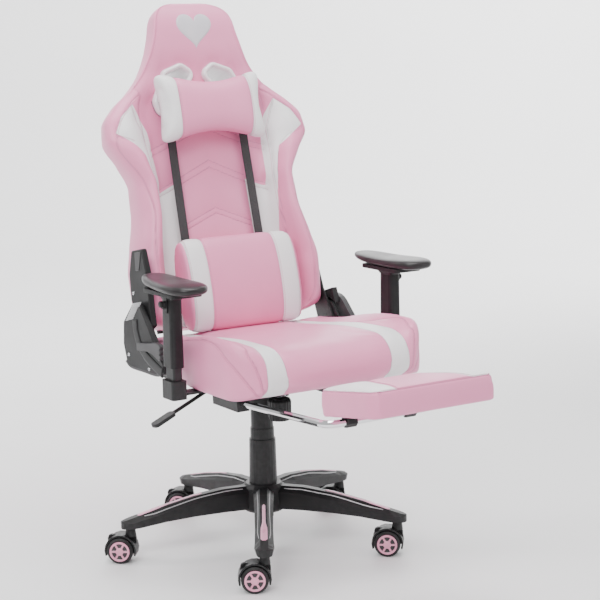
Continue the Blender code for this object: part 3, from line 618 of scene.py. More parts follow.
def back_corners(height):
    """The corners of the cross-section at each height, from the middle of the front round to the left."""
    half, lip, wing, thick = through(BACK[:, 0], BACK[:, 1:], height).T
    front, rear = FACE - lip, FACE + thick
    inner = 0.155 * half / 0.2365 * (1 - 0.18 * np.exp(-(((height - 0.46) / 0.07) ** 2)))
    d = half - inner
    nought = np.zeros_like(half)
    slim = 0.009 * np.exp(-(((height - 0.47) / 0.10) ** 2))
    sunk = 0.004 * np.clip((0.62 - height) / 0.08, 0, 1)
    right = [
        (nought, front - 0.001), (0.35 * inner, front), (0.7 * inner, front + 0.25 * sunk),
        (inner - 0.010, front + sunk),
        (inner + 0.006, front - 0.06 * wing), (inner + 0.30 * d, front - 0.52 * wing),
        (inner + 0.60 * d, front - wing), (half - 0.009, front - 0.84 * wing), (half, front - 0.30 * wing),
        (half - 0.004 - slim, 0.55 * front + 0.45 * rear), (half - 0.014 - 2 * slim, rear - 0.026),
        (half - 0.040 - 2.5 * slim, rear - 0.005), (0.60 * half, rear + 0.001), (0.3 * half, rear + 0.002),
        (nought, rear + 0.002),
    ]
    ring = right + [(-x, y) for x, y in right[-2:0:-1]]
    return np.stack([np.stack(c, -1) for c in ring], 1)


def back_rows(spacing):
    """Rings of points up the back. Near each end a ring shrinks about its middle by a
    superellipse of how far into the rounded end it is, wide ways less than deep ways."""
    foot, top = 0.062, 0.712
    quarter = np.sin(np.linspace(0, 1, 14) * np.pi / 2)
    body = np.linspace(foot, top, int((top - foot) / spacing) + 1)
    height = np.concatenate([foot - (foot - BACK_FOOT) * quarter[:0:-1], body,
                             top + (BACK_TOP - top) * quarter[1:]])
    corners = back_corners(height)
    lengths = np.linalg.norm(np.roll(corners, -1, 1) - corners, axis=2).max(0)
    rings = around(corners, np.maximum(2, np.round(lengths / spacing)).astype(int))
    t = np.where(height < foot, (foot - height) / (foot - BACK_FOOT),
                 np.clip((height - top) / (BACK_TOP - top), 0, 1))
    wide, deep = (1 - t**3.2) ** (1 / 2.5), (1 - t**2.6) ** 0.5
    middle = rings[..., 1].mean(1, keepdims=True)
    x = rings[..., 0] * wide[:, None]
    y = middle + (rings[..., 1] - middle) * deep[:, None]
    return np.stack([x, y, np.broadcast_to(height[:, None], x.shape)], -1)[1:-1]


PANEL_SEAM = [(0.150, 0, 0.030), (0.148, 0, 0.15), (0.145, 0, 0.26), (0.144, 0, 0.32), (0.147, 0, 0.39),
              (0.150, 0, 0.45), (0.149, 0, 0.50), (0.150, 0, 0.545), (0.157, 0.01, 0.566),
              (0.172, 0.03, 0.584)]
WING_SEAM = [(0.157, 0.01, 0.566), (0.190, 0, 0.552), (0.222, 0, 0.520), (0.243, 0, 0.485),
             (0.249, 0, 0.452), (0.240, 0, 0.415), (0.222, -0.01, 0.375), (0.205, -0.02, 0.335),
             (0.198, -0.03, 0.29), (0.202, -0.03, 0.24), (0.207, -0.03, 0.19), (0.209, -0.03, 0.13),
             (0.208, -0.02, 0.075), (0.196, 0, 0.040)]
PATCH = [(0.190, 0.544), (0.228, 0.513), (0.250, 0.474), (0.214, 0.450), (0.180, 0.424), (0.166, 0.369),
         (0.160, 0.316), (0.158, 0.263), (0.159, 0.15), (0.163, 0.02), (0.150, 0.02), (0.148, 0.15),
         (0.145, 0.26), (0.144, 0.32), (0.147, 0.39), (0.150, 0.45), (0.154, 0.480), (0.169, 0.510)]
STRIP = [(0.093, 0.357), (0.144, 0.334), (0.145, 0.26), (0.148, 0.15), (0.150, 0.02), (0.098, 0.02),
         (0.096, 0.22)]
CHEVRONS = [(0.499, 0.434, 0.155), (0.483, 0.420, 0.155), (0.406, 0.338, 0.150), (0.389, 0.323, 0.150),
            (0.292, 0.254, 0.093), (0.279, 0.241, 0.093)]


def edge_of(outline, first, last):
    """A stretch of an outline as a line in the back's frame."""
    return [(x, 0.0, z) for x, z in outline[first:last]]


SLOT_RADIUS = 0.0163
SLOT = [(0.084, 0.545), (0.103, 0.535), (0.107, 0.548), (0.078, 0.606), (0.045, 0.618), (0.034, 0.610)]


def rounded_outline(corners, radius, steps=6):
    """A convex polygon grown by a radius: an arc at each corner, swept between its two edges' directions."""
    p = np.asarray(corners, float)
    into, out = p - np.roll(p, 1, 0), np.roll(p, -1, 0) - p
    start = np.arctan2(into[:, 1], into[:, 0]) - np.pi / 2
    sweep = (np.arctan2(out[:, 1], out[:, 0]) - np.pi / 2 - start + np.pi) % (2 * np.pi) - np.pi
    turn = start[:, None] + sweep[:, None] * np.linspace(0, 1, steps)
    return (p[:, None] + radius * np.stack([np.cos(turn), np.sin(turn)], -1)).reshape(-1, 2)


def slot_hole(side):
    """A plug of the slot's outer shape, through the whole back."""
    flat = rounded_outline(SLOT, SLOT_RADIUS)
    plug = np.stack([np.insert(flat * (side, 1), 1, y, axis=1) for y in (-0.1, 0.3)])
    return solid("plug", plug, None, from_back)


def cut(piece, tools):
    """Cuts closed meshes out of a piece and removes them."""
    for tool in tools:
        boolean = piece.modifiers.new("cut", "BOOLEAN")
        boolean.operation = "DIFFERENCE"
        boolean.object = tool
    apply_modifiers(piece)
    for tool in tools:
        bpy.data.objects.remove(tool, do_unlink=True)


def apply_modifiers(piece):
    """Replaces the piece's mesh by what its modifiers make of it."""
    graph = bpy.context.evaluated_depsgraph_get()
    made = bpy.data.meshes.new_from_object(piece.evaluated_get(graph), depsgraph=graph)
    piece.modifiers.clear()
    piece.data = made


def make_back():
    """The leather body of the back: loft, slots, seams, colours and stitches."""
    piece = solid("back_cover", back_rows(0.0042), LEATHER, from_back)
    cut(piece, [slot_hole(side) for _, side in SIDES])
    piece.data.polygons.foreach_set("use_smooth", np.full(len(piece.data.polygons), True))
    rims = [np.insert(rounded_outline(SLOT, SLOT_RADIUS) * (side, 1), 1, 0.03, axis=1) for _, side in SIDES]
    chevrons = [[(-wide, FACE, end), (0, FACE, peak), (wide, FACE, end)] for peak, end, wide in CHEVRONS]
    lines = [*mirror_both(PANEL_SEAM), *mirror_both(WING_SEAM), *mirror_both(edge_of(PATCH, 3, 9)),
             *mirror_both([(0.093, FACE, 0.357), (0.096, FACE, 0.22), (0.098, FACE, 0.02)])]
    sharp = [np.array(line)[[k, k + 1]] for line in chevrons for k in (0, 1)]
    around_patch = PATCH + PATCH[:1]
    edges = mirror_both(edge_of(around_patch, 0, 4)) + mirror_both(edge_of(around_patch, 15, 19))
    on_cover = lambda some: [snap(piece, from_back(polyline(line, 0.004)))[0] for line in some]
    lines, edges = on_cover(lines + sharp), on_cover(edges)
    sew(piece, lines + edges)
    co = to_back(coords(piece))
    dent = np.stack([nearest(co, rim)[0] for rim in rims], 1).min(1)
    front = co[:, 1] < 0.07
    pressed = 0.005 * np.exp(-((dent / 0.016) ** 2)) * front
    set_coords(piece, coords(piece) - normals(piece) * pressed[:, None])
    flat = np.abs(co[:, [0]]) * (1, 0) + co[:, [2]] * (0, 1)
    white = np.maximum(inside_by(flat, PATCH), inside_by(flat, STRIP))
    set_attribute(piece, "white", 1000 * np.where(front, white, -0.02))
    for line in lines[:4] + edges:
        stitch(piece, line, "back", (0.0028,))
    for line in lines[8:]:
        stitch(piece, line, "back", (0.0,))
    return stand_in(piece, "back", "back_cushion", 0.85)


back_cover = make_back()


# %% CAD pieces and their finishes
FINISH_OF = {
    "black_plastic": BLACK, "soft_black": SKIN, "black_steel": PAINT, "bright_steel": STEEL,
    "chrome": CHROME,
    "grey_plastic": COVER_GREY, "tyre": RUBBER, "black_webbing": WEBBING, "white_plastic": WHITE_PLASTIC,
    "pink_leather": LEATHER,
}
for row in frame["record"]["subparts"]:
    piece = NODES[row["node"]]
    piece.data.materials.clear()
    piece.data.materials.append(FINISH_OF[row["material_slot"]])


# %% [markdown]
# ## Floor and light
# The chair stands on a pale floor that curves up into a pale backdrop. Large lamps on both sides
# give leather its broad highlights, and a bright sky leaves only a faint shadow under the castors.

# %% Floor and lamps
def paint(name, colour, rough):
    """A plain finish with a slow mottle, for the studio."""
    material, tree, principled = shader(name, Roughness=rough)
    tone = use_group(tree, "mottle", Color=colour, Other=tuple(0.985 * c for c in colour[:3]) + (1,),
                     Scale=1.5)
    tree.links.new(tone.outputs["Color"], principled.inputs["Base Color"])
    return material


def make_floor():
    """A sheet that lies flat, then curves up behind by a quarter circle of radius bend."""
    wide, ahead, behind, bend = 9.0, 8.0, 5.0, 2.0
    turn = np.linspace(0, np.pi / 2, 24)
    y = np.concatenate([[-ahead], behind + bend * np.sin(turn), [behind + bend]])
    z = np.concatenate([[0], bend * (1 - np.cos(turn)), [9.0]])
    rows = np.stack([np.stack([np.full_like(y, x), y, z], -1) for x in (-wide, wide)], 1)
    points = (rows @ np.array(Matrix.Rotation(EYE_TURN, 3, "Z")).T).reshape(-1, 3)
    white = paint("studio_white", (0.9, 0.9, 0.905, 1), 0.6)
    add_mesh("floor", points, grid_faces(len(y), 2, wrap=False), white)


def lamp(name, size, power, place, target):
    """A square soft lamp at a place, turned to look at a target."""
    light = bpy.data.lights.new(name, "AREA")
    light.size, light.energy = size, power
    lamp_object = bpy.data.objects.new(name, light)
    towards = Vector(target) - Vector(place)
    turn = towards.to_track_quat("-Z", "Y").to_matrix().to_4x4()
    lamp_object.matrix_world = Matrix.Translation(place) @ turn
    bpy.context.scene.collection.objects.link(lamp_object)


CHAIR_MIDDLE = (0, 0, 0.6)
LAMPS = [  # name, size, power, place, target
    ("key", 1.5, 88.0, (-2.3, -1.9, 2.7), CHAIR_MIDDLE),
    ("fill", 2.0, 20.0, (2.6, -2.2, 1.5), CHAIR_MIDDLE),
    ("top", 1.8, 80.0, (0.1, -0.1, 3.3), CHAIR_MIDDLE),
    ("rear", 1.8, 20.0, (1.4, 2.6, 2.2), CHAIR_MIDDLE),
    ("backdrop_left", 3.0, 420.0, (-3.4, 3.2, 3.4), (1.5, 8.0, 1.6)),
    ("backdrop_right", 3.0, 420.0, (4.2, 1.8, 3.4), (4.5, 7.0, 1.6)),
]
SKY_STRENGTH = 0.70
make_floor()
for row in LAMPS:
    lamp(*row)
world = bpy.data.worlds.new("studio")
world.use_nodes = True
world.node_tree.nodes["Background"].inputs[0].default_value = (1, 1, 1, 1)
world.node_tree.nodes["Background"].inputs[1].default_value = SKY_STRENGTH
bpy.context.scene.world = world
print("lamps:", [row[0] for row in LAMPS])


# %% [markdown]
# ## Swelling a cushion with cloth
# A stuffed cover is pushed out by its filling and held back by its seams. The closed shape is
# rebuilt as an even mesh, filled with pressure in the cloth solver, and stopped after a
# few frames. Points near a seam are pinned, and no point may move further than a cap.

# %% Cloth swelling
SWELL_FRAMES = 20


def swell(piece, voxel, cap, held=None, pressure=4.0):
    """Remeshes the piece evenly, blows it up with cloth pressure and smooths it once. A move of
    length d is shortened to cap * tanh(d / cap)."""
    remesh = piece.modifiers.new("even", "REMESH")
    remesh.mode, remesh.voxel_size, remesh.use_smooth_shade = "VOXEL", voxel, True
    apply_modifiers(piece)
    start = coords(piece)
    pins = piece.vertex_groups.new(name="pins")
    if held is not None:
        far = nearest(start, held)[0]
        for reach, weight in ((0.012, 0.35), (0.006, 1.0)):
            pins.add(np.flatnonzero(far < reach).tolist(), weight, "REPLACE")
    cloth = piece.modifiers.new("cloth", "CLOTH")
    cloth.settings.use_pressure, cloth.settings.uniform_pressure_force = True, pressure
    cloth.settings.tension_stiffness = cloth.settings.compression_stiffness = 18
    cloth.settings.effector_weights.gravity = 0
    cloth.settings.quality = 5
    cloth.settings.vertex_group_mass = "pins"
    for number in range(1, SWELL_FRAMES + 1):
        bpy.context.scene.frame_set(number)
    apply_modifiers(piece)
    bpy.context.scene.frame_set(1)
    move = coords(piece) - start
    length = np.linalg.norm(move, axis=1, keepdims=True)
    set_coords(piece, start + move * (cap * np.tanh(length / cap) / np.maximum(length, 1e-9)))
    piece.vertex_groups.clear()
    print(piece.name, "moved up to", round(float(length.max()) * 1000, 1), "mm before the cap")
    finer = piece.modifiers.new("finer", "SUBSURF")
    finer.levels = finer.render_levels = 1
    apply_modifiers(piece)
    piece.data.polygons.foreach_set("use_smooth", np.full(len(piece.data.polygons), True))
    return piece


def clad(piece, material):
    """Gives the piece that one material."""
    piece.data.materials.clear()
    piece.data.materials.append(material)
    return piece


# %% [markdown]
# ## Pillows
# Both pillows are stuffed rolls that lie against the back, flat behind and round in front. The
# head pillow's top and bottom pull in between its four corners. The lumbar pillow is a fat
# roll with flat ends. Each is a superellipse carried across the chair, swollen, then sewn.

# %% Pillow shapes
def superellipse(steps, power):
    """A closed ring: cosine and sine of the turn, each raised to 2 / power with its sign kept."""
    turn = 2 * np.pi * np.arange(steps) / steps
    c, s = np.cos(turn), np.sin(turn)
    return np.stack([np.sign(c) * np.abs(c) ** (2 / power), np.sign(s) * np.abs(s) ** (2 / power)], -1)


def roll(half, centre, deep, tall, power, flare, ends):
    """Rings across the chair. The half height grows by flare times the square of the way out,
    and near the ends both sizes shrink by (1 - t^ends)^(1/ends) of that way, t from 0 to 1."""
    way = np.sin(np.linspace(-1, 1, 61) * np.pi / 2) * 0.9995
    edge = (1 - np.abs(way) ** ends) ** (1 / ends)
    ring = superellipse(72, power)
    y = centre[0] + deep * edge[:, None] * ring[:, 0]
    z = centre[1] + tall * (1 + flare * way[:, None] ** 2) * edge[:, None] * ring[:, 1]
    x = np.broadcast_to(half * way[:, None], y.shape)
    return np.stack([x, y, z], -1)


def ring_at(x, centre, deep, tall, power=2.2, bow=0.0):
    """A closed seam round a pillow at one place across it, bowed outwards at the top and bottom."""
    ring = superellipse(48, power)
    loop = np.stack([x + np.sign(x) * bow * ring[:, 1] ** 2, centre[0] + deep * ring[:, 0],
                     centre[1] + tall * ring[:, 1]], -1)
    return np.concatenate([loop, loop[:1]])


def finish_pillow(piece, seams, white, node_name):
    """Sews a pillow, colours it, and stands it in for its CAD node."""
    clad(piece, LEATHER)
    seams = [snap(piece, from_back(polyline(s, 0.004)))[0] for s in seams]
    sew(piece, seams, depth=0.0022, width=0.0034, puff=0.0012, reach=0.014)
    set_attribute(piece, "white", 1000 * white(to_back(coords(piece))))
    for line in seams:
        stitch(piece, line, "back", (0.0026,), pitch=0.0050)
    return stand_in(piece, "back", node_name, 0.9)


# %% Head pillow
HEAD_MID, HEAD_TALL, HEAD_HALF = (-0.026, 0.5225), 0.0575, 0.131
HEAD_ASIDE, HEAD_SEAM = 0.005, 0.096


def make_head_pillow():
    """The head pillow: a roll whose height grows 58% towards its ends, and whose ends pull in
    at mid height by a square law, so that the four corners stand out."""
    rows = roll(HEAD_HALF, HEAD_MID, 0.034, HEAD_TALL, 2.5, 0.58, 8.0)
    t = np.abs(rows[..., 0]) / HEAD_HALF
    v = (rows[..., 2] - HEAD_MID[1]) / HEAD_TALL
    rows[..., 0] += np.sign(rows[..., 0]) * 0.011 * t**4 * (np.clip(v**2, 0, 1.9) - 0.9)
    rows[..., 1] += 0.006 * t**2
    rows[..., 0] -= HEAD_ASIDE
    piece = solid("head_pillow_cover", rows, None, from_back)
    seams = [ring_at(side * HEAD_SEAM - HEAD_ASIDE, HEAD_MID, 0.036, HEAD_TALL * 1.3, 2.5, -0.003) for _,
             side in SIDES]
    swell(piece, 0.0045, 0.006, from_back(np.concatenate(seams)))
    edge = lambda p: np.abs(p[:, 0] + HEAD_ASIDE) - HEAD_SEAM + 0.003 * ((p[:, 2] - HEAD_MID[1]) / 0.075) ** 2
    return finish_pillow(piece, seams, edge, "head_pillow")


make_head_pillow()

# %% Lumbar pillow
LUMBAR_MID, LUMBAR_TALL, LUMBAR_DEEP = (-0.024, 0.108), 0.1085, 0.038
LUMBAR_SEAMS = (0.094, 0.1420)


def make_lumbar_pillow():
    """The lumbar pillow: a nearly straight roll, full in the middle, with flat ends."""
    rows = roll(0.150, LUMBAR_MID, LUMBAR_DEEP, LUMBAR_TALL, 2.4, 0.0, 16.0)
    piece = solid("lumbar_pillow_cover", rows, None, from_back)
    seams = [ring_at(side * x, LUMBAR_MID, LUMBAR_DEEP, LUMBAR_TALL, 2.4)
             for _, side in SIDES for x in LUMBAR_SEAMS]
    swell(piece, 0.005, 0.006, from_back(np.concatenate(seams)))
    band = lambda p: np.minimum(np.abs(p[:, 0]) - LUMBAR_SEAMS[0], LUMBAR_SEAMS[1] - np.abs(p[:, 0]))
    return finish_pillow(piece, seams, band, "lumbar_pillow")


make_lumbar_pillow()

# %% [markdown]
# ## The seat
# A bucket seat: a crowned middle panel with white bands, deep bolsters at the sides that start
# as a leaf-shaped panel at the front corner, and a rounded front that falls to the pan. The
# loft runs from front to rear, its height and width drawn in by rounded laws at both ends.
# Rows and lines are measured from the column's axis.

# %% Seat shape
SEAT = np.array([  # y, half width, crown height, bolster rise, underside
    (-0.337, 0.244, 0.5230, 0.020, 0.4300), (-0.300, 0.246, 0.5250, 0.026, 0.4255),
    (-0.260, 0.249, 0.5255, 0.028, 0.4245), (-0.180, 0.2505, 0.5250, 0.026, 0.4240),
    (-0.100, 0.248, 0.5210, 0.018, 0.4240), (-0.030, 0.2365, 0.5150, 0.009, 0.4245),
    (0.040, 0.230, 0.510, 0.004, 0.4250), (0.105, 0.228, 0.505, 0.000, 0.4270),
])
SEAT_FRONT, SEAT_REAR, SEAT_LIP = -0.3375, 0.1055, 0.466
BAND_FOOT, BAND_LIP = 0.436, 0.475


def seat_rows(spacing):
    """Rings from the front to the rear. Within 79 mm of the front and 22 mm of the rear the
    section closes on the height of the lip by (1 - t^p)^(1/p), and narrows by a power of t."""
    quarter = np.sin(np.linspace(0, 1, 20) * np.pi / 2)
    front, rear = -0.259, 0.084
    body = np.linspace(front, rear, int((rear - front) / spacing) + 1)
    y = np.concatenate([front - (front - SEAT_FRONT) * quarter[:0:-1], body,
                        rear + (SEAT_REAR - rear) * quarter[1:]])
    half, crown, rise, under = through(SEAT[:, 0], SEAT[:, 1:], y).T
    t = np.maximum((front - y) / (front - SEAT_FRONT), (y - rear) / (SEAT_REAR - rear)).clip(0, 1)
    ahead = y < 0
    half = half * (1 - np.where(ahead, 0.235, 0.12) * t**2.5)
    tall = np.maximum(1 - t ** np.where(ahead, 2.2, 2.6), 0) ** (1 / 2.2)
    top = lambda add: SEAT_LIP + (crown + add * rise - SEAT_LIP) * tall
    low_z = lambda add: SEAT_LIP + (under + add - SEAT_LIP) * tall
    right = [
        (0 * half, top(0.03)), (0.28 * half, top(0.05)), (0.54 * half, top(0.30)), (0.67 * half, top(0.44)),
        (0.75 * half, top(0.50)), (0.83 * half, top(0.76)), (0.885 * half, top(0.97)),
        (0.93 * half, top(1.02)),
        (0.975 * half, top(0.70)), (0.998 * half, top(-0.25)), (half, 0.5 * (top(0) + low_z(0))),
        (0.99 * half, low_z(0.016)),
        (0.955 * half, low_z(0.002)), (0.80 * half, low_z(0.0)), (0.4 * half, low_z(0.0)),
        (0 * half, low_z(0.0)),
    ]
    ring = right + [(-x, z) for x, z in right[-2:0:-1]]
    corners = np.stack([np.stack(c, -1) for c in ring], 1)
    lengths = np.linalg.norm(np.roll(corners, -1, 1) - corners, axis=2).max(0)
    rings = around(corners, np.maximum(2, np.round(lengths / spacing)).astype(int))
    return np.stack([rings[..., 0], np.broadcast_to(y[:, None], rings.shape[:2]), rings[..., 1]], -1)[1:-1]


BAND_IN = [(0.128, -0.318, 0.436), (0.130, -0.330, 0.450), (0.133, -0.336, 0.475), (0.135, -0.330, 0.500),
           (0.136, -0.305, 0.522), (0.137, -0.262, 0.534), (0.137, -0.18, 0.534), (0.135, -0.084, 0.526),
           (0.131, 0.07, 0.505)]
BAND_OUT = [(0.180, -0.310, 0.436), (0.181, -0.324, 0.450), (0.182, -0.331, 0.475),
            (0.181, -0.326, 0.500), (0.180, -0.302, 0.525), (0.178, -0.255, 0.537), (0.175, -0.19, 0.537),
            (0.170, -0.106, 0.530), (0.158, 0.07, 0.505)]
CREASE = [(0.184, -0.316, 0.450), (0.191, -0.322, 0.472), (0.199, -0.315, 0.500), (0.210, -0.301, 0.523),
          (0.218, -0.274, 0.542), (0.222, -0.243, 0.553), (0.213, -0.205, 0.545), (0.193, -0.165, 0.525),
          (0.169, -0.130, 0.51)]
PIPING = [(0.190, -0.308, 0.446), (0.208, -0.307, 0.463), (0.228, -0.293, 0.494), (0.238, -0.264, 0.521),
          (0.243, -0.22, 0.540), (0.243, -0.159, 0.546), (0.242, -0.088, 0.538), (0.232, -0.02, 0.528),
          (0.222, 0.06, 0.50)]


def make_seat():
    """The seat cover: loft, swell between its pinned seams, wrinkles at the rear, seams and colours."""
    piece = solid("seat_cover", seat_rows(0.006), None, on_column)
    lines = [line + COLUMN for rough in (BAND_IN, BAND_OUT, CREASE, PIPING) for line in mirror_both(rough)]
    lines = [snap(piece, polyline(line, 0.004))[0] for line in lines]
    co = coords(piece)
    under = co[co[:, 2] < 0.432]
    swell(piece, 0.006, 0.005, np.concatenate(lines + [under]), 3.0)
    clad(piece, LEATHER)
    co = coords(piece) - COLUMN
    x, y, z = co.T
    fold = sum(a * np.exp(-(((y - y0 - b * x) / w) ** 2) - ((x - x0) / l) ** 2)
               for x0, y0, b, w, l, a in WRINKLES) * (z > 0.49)
    set_coords(piece, co + COLUMN + normals(piece) * fold[:, None])
    lines = [snap(piece, line)[0] for line in lines]
    sew(piece, lines, depth=0.0020, width=0.0032, puff=0.0024, reach=0.018)
    co = coords(piece) - COLUMN
    inner, outer = (through(np.array(line)[2:, 1], np.array(line)[2:, 0],
                            co[:, 1]) for line in (BAND_IN, BAND_OUT))
    under_lip = (co[:, 2] < BAND_LIP) & (co[:, 1] < 0)
    climb = (co[:, 2] - BAND_FOOT) / (BAND_LIP - BAND_FOOT)
    inner = np.where(under_lip, 0.128 + 0.005 * climb, inner)
    outer = np.where(under_lip, 0.180 + 0.002 * climb, outer)
    band = np.minimum(np.abs(co[:, 0]) - inner, outer - np.abs(co[:, 0]))
    set_attribute(piece, "white", 1000 * np.where(co[:, 2] > 0.430, band, -0.02))
    for line in lines[4:]:
        stitch(piece, line, "seat", (0.0028,))
    return stand_in(piece, "seat", "seat_cushion", 0.85)


WRINKLES = [  # x, y of the middle, slope, width, reach, height of each soft fold
    (0.00, -0.060, 0.25, 0.009, 0.075, 0.0014), (0.03, -0.030, 0.10, 0.007, 0.060, 0.0012),
    (-0.05, -0.095, -0.20, 0.010, 0.060, 0.0012), (0.06, -0.105, 0.35, 0.008, 0.045, 0.0010),
    (-0.03, -0.018, -0.10, 0.006, 0.050, 0.0011), (0.02, -0.140, 0.15, 0.012, 0.070, 0.0009),
]
make_seat()

# %% [markdown]
# ## The footrest pad
# A slab of foam with a crowned top. Its sides are one strip of leather sewn round; the top has
# two white end panels. Rings of one rounded rectangle climb the side, then shrink to the middle.

# %% Footrest pad
PAD_TILT = math.radians(8.8)
BAR = COLUMN + np.array([0, -0.476, 0.400])
PAD_TURN = np.array(Matrix.Rotation(-PAD_TILT, 3, "X"))


def from_pad(points):
    """From the footrest pad's frame (at its hinge bar) to the chair's."""
    return np.asarray(points) @ PAD_TURN.T + BAR


def to_pad(points):
    """From the chair's frame to the footrest pad's."""
    return (np.asarray(points) - BAR) @ PAD_TURN


def make_footrest_pad():
    """The pad: the top rises from the rim by a crown of (1 - s^2)^0.75, s being the way from the
    middle to the rim."""
    half, y0, y1, foot, top, round_by = 0.1515, -0.207, -0.003, 0.0205, 0.0755, 0.027
    x, low_y, high_y = half - round_by, y0 + round_by, y1 - round_by
    outline = rounded_outline([(-x, low_y), (x, low_y), (x, high_y), (-x, high_y)], round_by, 10)
    outline = polyline(np.concatenate([outline, outline[:1]]), 0.006)[:-1]
    middle = np.array([0.0, 0.5 * (y0 + y1)])
    arc = np.linspace(0, np.pi / 2, 5)
    shrink = np.concatenate([np.linspace(0.03, 0.95, 20), 0.966 + 0.034 * np.sin(arc), np.ones(8),
                             1 - 0.022 * (1 - np.cos(arc)),
                             np.linspace(0.97, 0.03, 20)])
    rise = np.concatenate([np.full(20, foot), foot + 0.004 * (1 - np.cos(arc)),
                           np.linspace(foot + 0.007, top - 0.006, 8),
                           top - 0.003 + 0.003 * np.sin(arc),
                           top + 0.0095 * (1 - np.linspace(0.97, 0.0, 20) ** 2) ** 0.75])
    flat = middle + (outline - middle)[None] * shrink[:, None, None]
    rows = np.concatenate([flat, np.broadcast_to(rise[:, None, None], flat.shape[:2] + (1,))], -1)
    piece = solid("footrest_pad_cover", rows, None, from_pad)
    rim = np.insert(outline, 2, top - 0.001, axis=1)
    rim = np.concatenate([rim, rim[:1]])
    end_y, end_x = [-0.20, -0.12, -0.06, -0.010], [0.092, 0.078, 0.060, 0.040]
    ends = mirror_both([(x, y, top) for x, y in zip(end_x[::-1], end_y[::-1])])
    low_rim = np.insert(outline, 2, foot, axis=1)
    swell(piece, 0.005, 0.004, from_pad(np.concatenate([rim, low_rim])), 3.0)
    clad(piece, LEATHER)
    lines = [snap(piece, from_pad(polyline(line, 0.004)))[0] for line in [rim, *ends]]
    sew(piece, lines, depth=0.0018, width=0.0030, puff=0.0016, reach=0.014)
    co = to_pad(coords(piece))
    edge = np.abs(co[:, 0]) - through(end_y, end_x, co[:, 1])
    set_attribute(piece, "white", 1000 * np.minimum(edge, co[:, 2] - (top - 0.002)))
    for line in lines:
        stitch(piece, line, "footrest_pad", (0.0026,))
    return stand_in(piece, "footrest_pad", "footrest_pad", 0.9)


make_footrest_pad()


# %% [markdown]
# ## Moulded trims
# Rings, covers, pads and inserts are moulded parts with soft edges. Most are a closed profile
# carried round a path, or a flat outline given a thickness and rounded by a Bevel modifier.

# %% Trim tools
def carry(path, section, up, closed=False):
    """Rows of a section (columns of across and up distances) at each point of a path. Across is
    the path's direction crossed with up."""
    ahead = np.roll(path, -1, 0) - np.roll(path, 1, 0) if closed else np.gradient(path, axis=0)
    ahead = ahead / np.linalg.norm(ahead, axis=1, keepdims=True)
    across = np.cross(ahead, up)
    across /= np.linalg.norm(across, axis=1, keepdims=True)
    high = np.cross(across, ahead)
    return path[:, None] + section[None, :, :1] * across[:, None] + section[None, :, 1:] * high[:, None]


def torus_faces(rows, cols):
    """The grid's quads with both ways joined up."""
    wrapped = grid_faces(rows + 1, cols)
    return wrapped % (rows * cols)


def slab(name, outline, low, high, material, round_by=0.002, along=0):
    """A flat outline pushed between two planes, with its edges rounded. along is 0 for x, 2 for z."""
    flat = np.asarray(outline, float)
    rows = np.stack([np.insert(flat, along, h, axis=1) for h in (low, high)])
    piece = solid(name, rows, material, on_column)
    bevel = piece.modifiers.new("rounding", "BEVEL")
    bevel.width, bevel.segments = round_by, 3
    bevel.limit_method, bevel.angle_limit = "ANGLE", math.radians(25)
    bevel.harden_normals = True
    apply_modifiers(piece)
    return piece


def joined(name, pieces):
    """One object from several, all at the origin."""
    with bpy.context.temp_override(active_object=pieces[0], object=pieces[0],
                                   selected_editable_objects=pieces):
        bpy.ops.object.join()
    pieces[0].name = pieces[0].data.name = name
    return pieces[0]


# %% Slot rings
def make_slot_ring(name, side):
    """The glossy ring of a slot: a loop of (outward distance, depth) carried round the slot's
    outline, so its lip stands proud of the leather in front and behind."""
    section = np.array([(0.0210, 0.0320), (0.0206, 0.0240), (0.0178, 0.0195), (0.0135, 0.0188),
                        (0.0098, 0.0220), (0.0086, 0.032),
                        (0.0090, 0.104), (0.0104, 0.1160), (0.0135, 0.1192), (0.0170, 0.1188),
                        (0.0190, 0.1150), (0.0190, 0.108),
                        (0.0160, 0.104), (0.0158, 0.040)])
    section = around(section[None], np.full(len(section), 3))[0]
    rows = np.stack([np.insert(rounded_outline(SLOT, r, 8) * (side, 1), 1, y, axis=1) for r, y in section],
                    1)
    count, cols = rows.shape[:2]
    piece = add_mesh(f"slot_trim_{name}", from_back(rows.reshape(-1, 3)), torus_faces(count, cols),
                     WHITE_PLASTIC)
    return stand_in(outwards(piece), "back", f"slot_ring_{name}")


# %% Straps
def make_strap(name, side):
    """Flat elastic webbing: a rounded strip out of the slot, over its lower lip, and down under
    both pillows."""
    path = polyline([(0.0970, 0.075, 0.556), (0.0970, 0.045, 0.551), (0.0970, 0.022, 0.540),
                     (0.0970, 0.0145, 0.528),
                     (0.0971, 0.0165, 0.510), (0.0973, 0.0205, 0.480), (0.0978, 0.0222, 0.42),
                     (0.0990, 0.0222, 0.32),
                     (0.1000, 0.0222, 0.205)], 0.004) * (side, 1, 1)
    section = superellipse(20, 5.0) * (0.0112, 0.0010)
    piece = solid(f"strap_band_{name}", from_back(carry(path, section, np.array([1e-3, -1.0, 0.02]))),
                  WEBBING)
    loops = np.empty(len(piece.data.loops), np.int32)
    piece.data.loops.foreach_get("vertex_index", loops)
    along = np.append(np.repeat(np.arange(len(path)) * 0.004, 20), [0, len(path) * 0.004])
    across = np.append(np.tile(section[:, 0], len(path)), [0, 0])
    layer = piece.data.uv_layers.new(name="UVMap")
    layer.data.foreach_set("uv", (np.stack([across, along],
                                           1)[loops] * 3600).astype(np.float32).reshape(-1))
    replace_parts(put(piece, "back"), f"strap_{name}")
    return piece


for name, side in SIDES:
    make_slot_ring(name, side)
    make_strap(name, side)


# %% [markdown]
# ## The headrest's embroidery
# A plain heart in silver thread. It is a polar grid whose rim follows a heart curve. Each point
# is dropped onto the leather, and the middle is raised by the thickness of the thread.

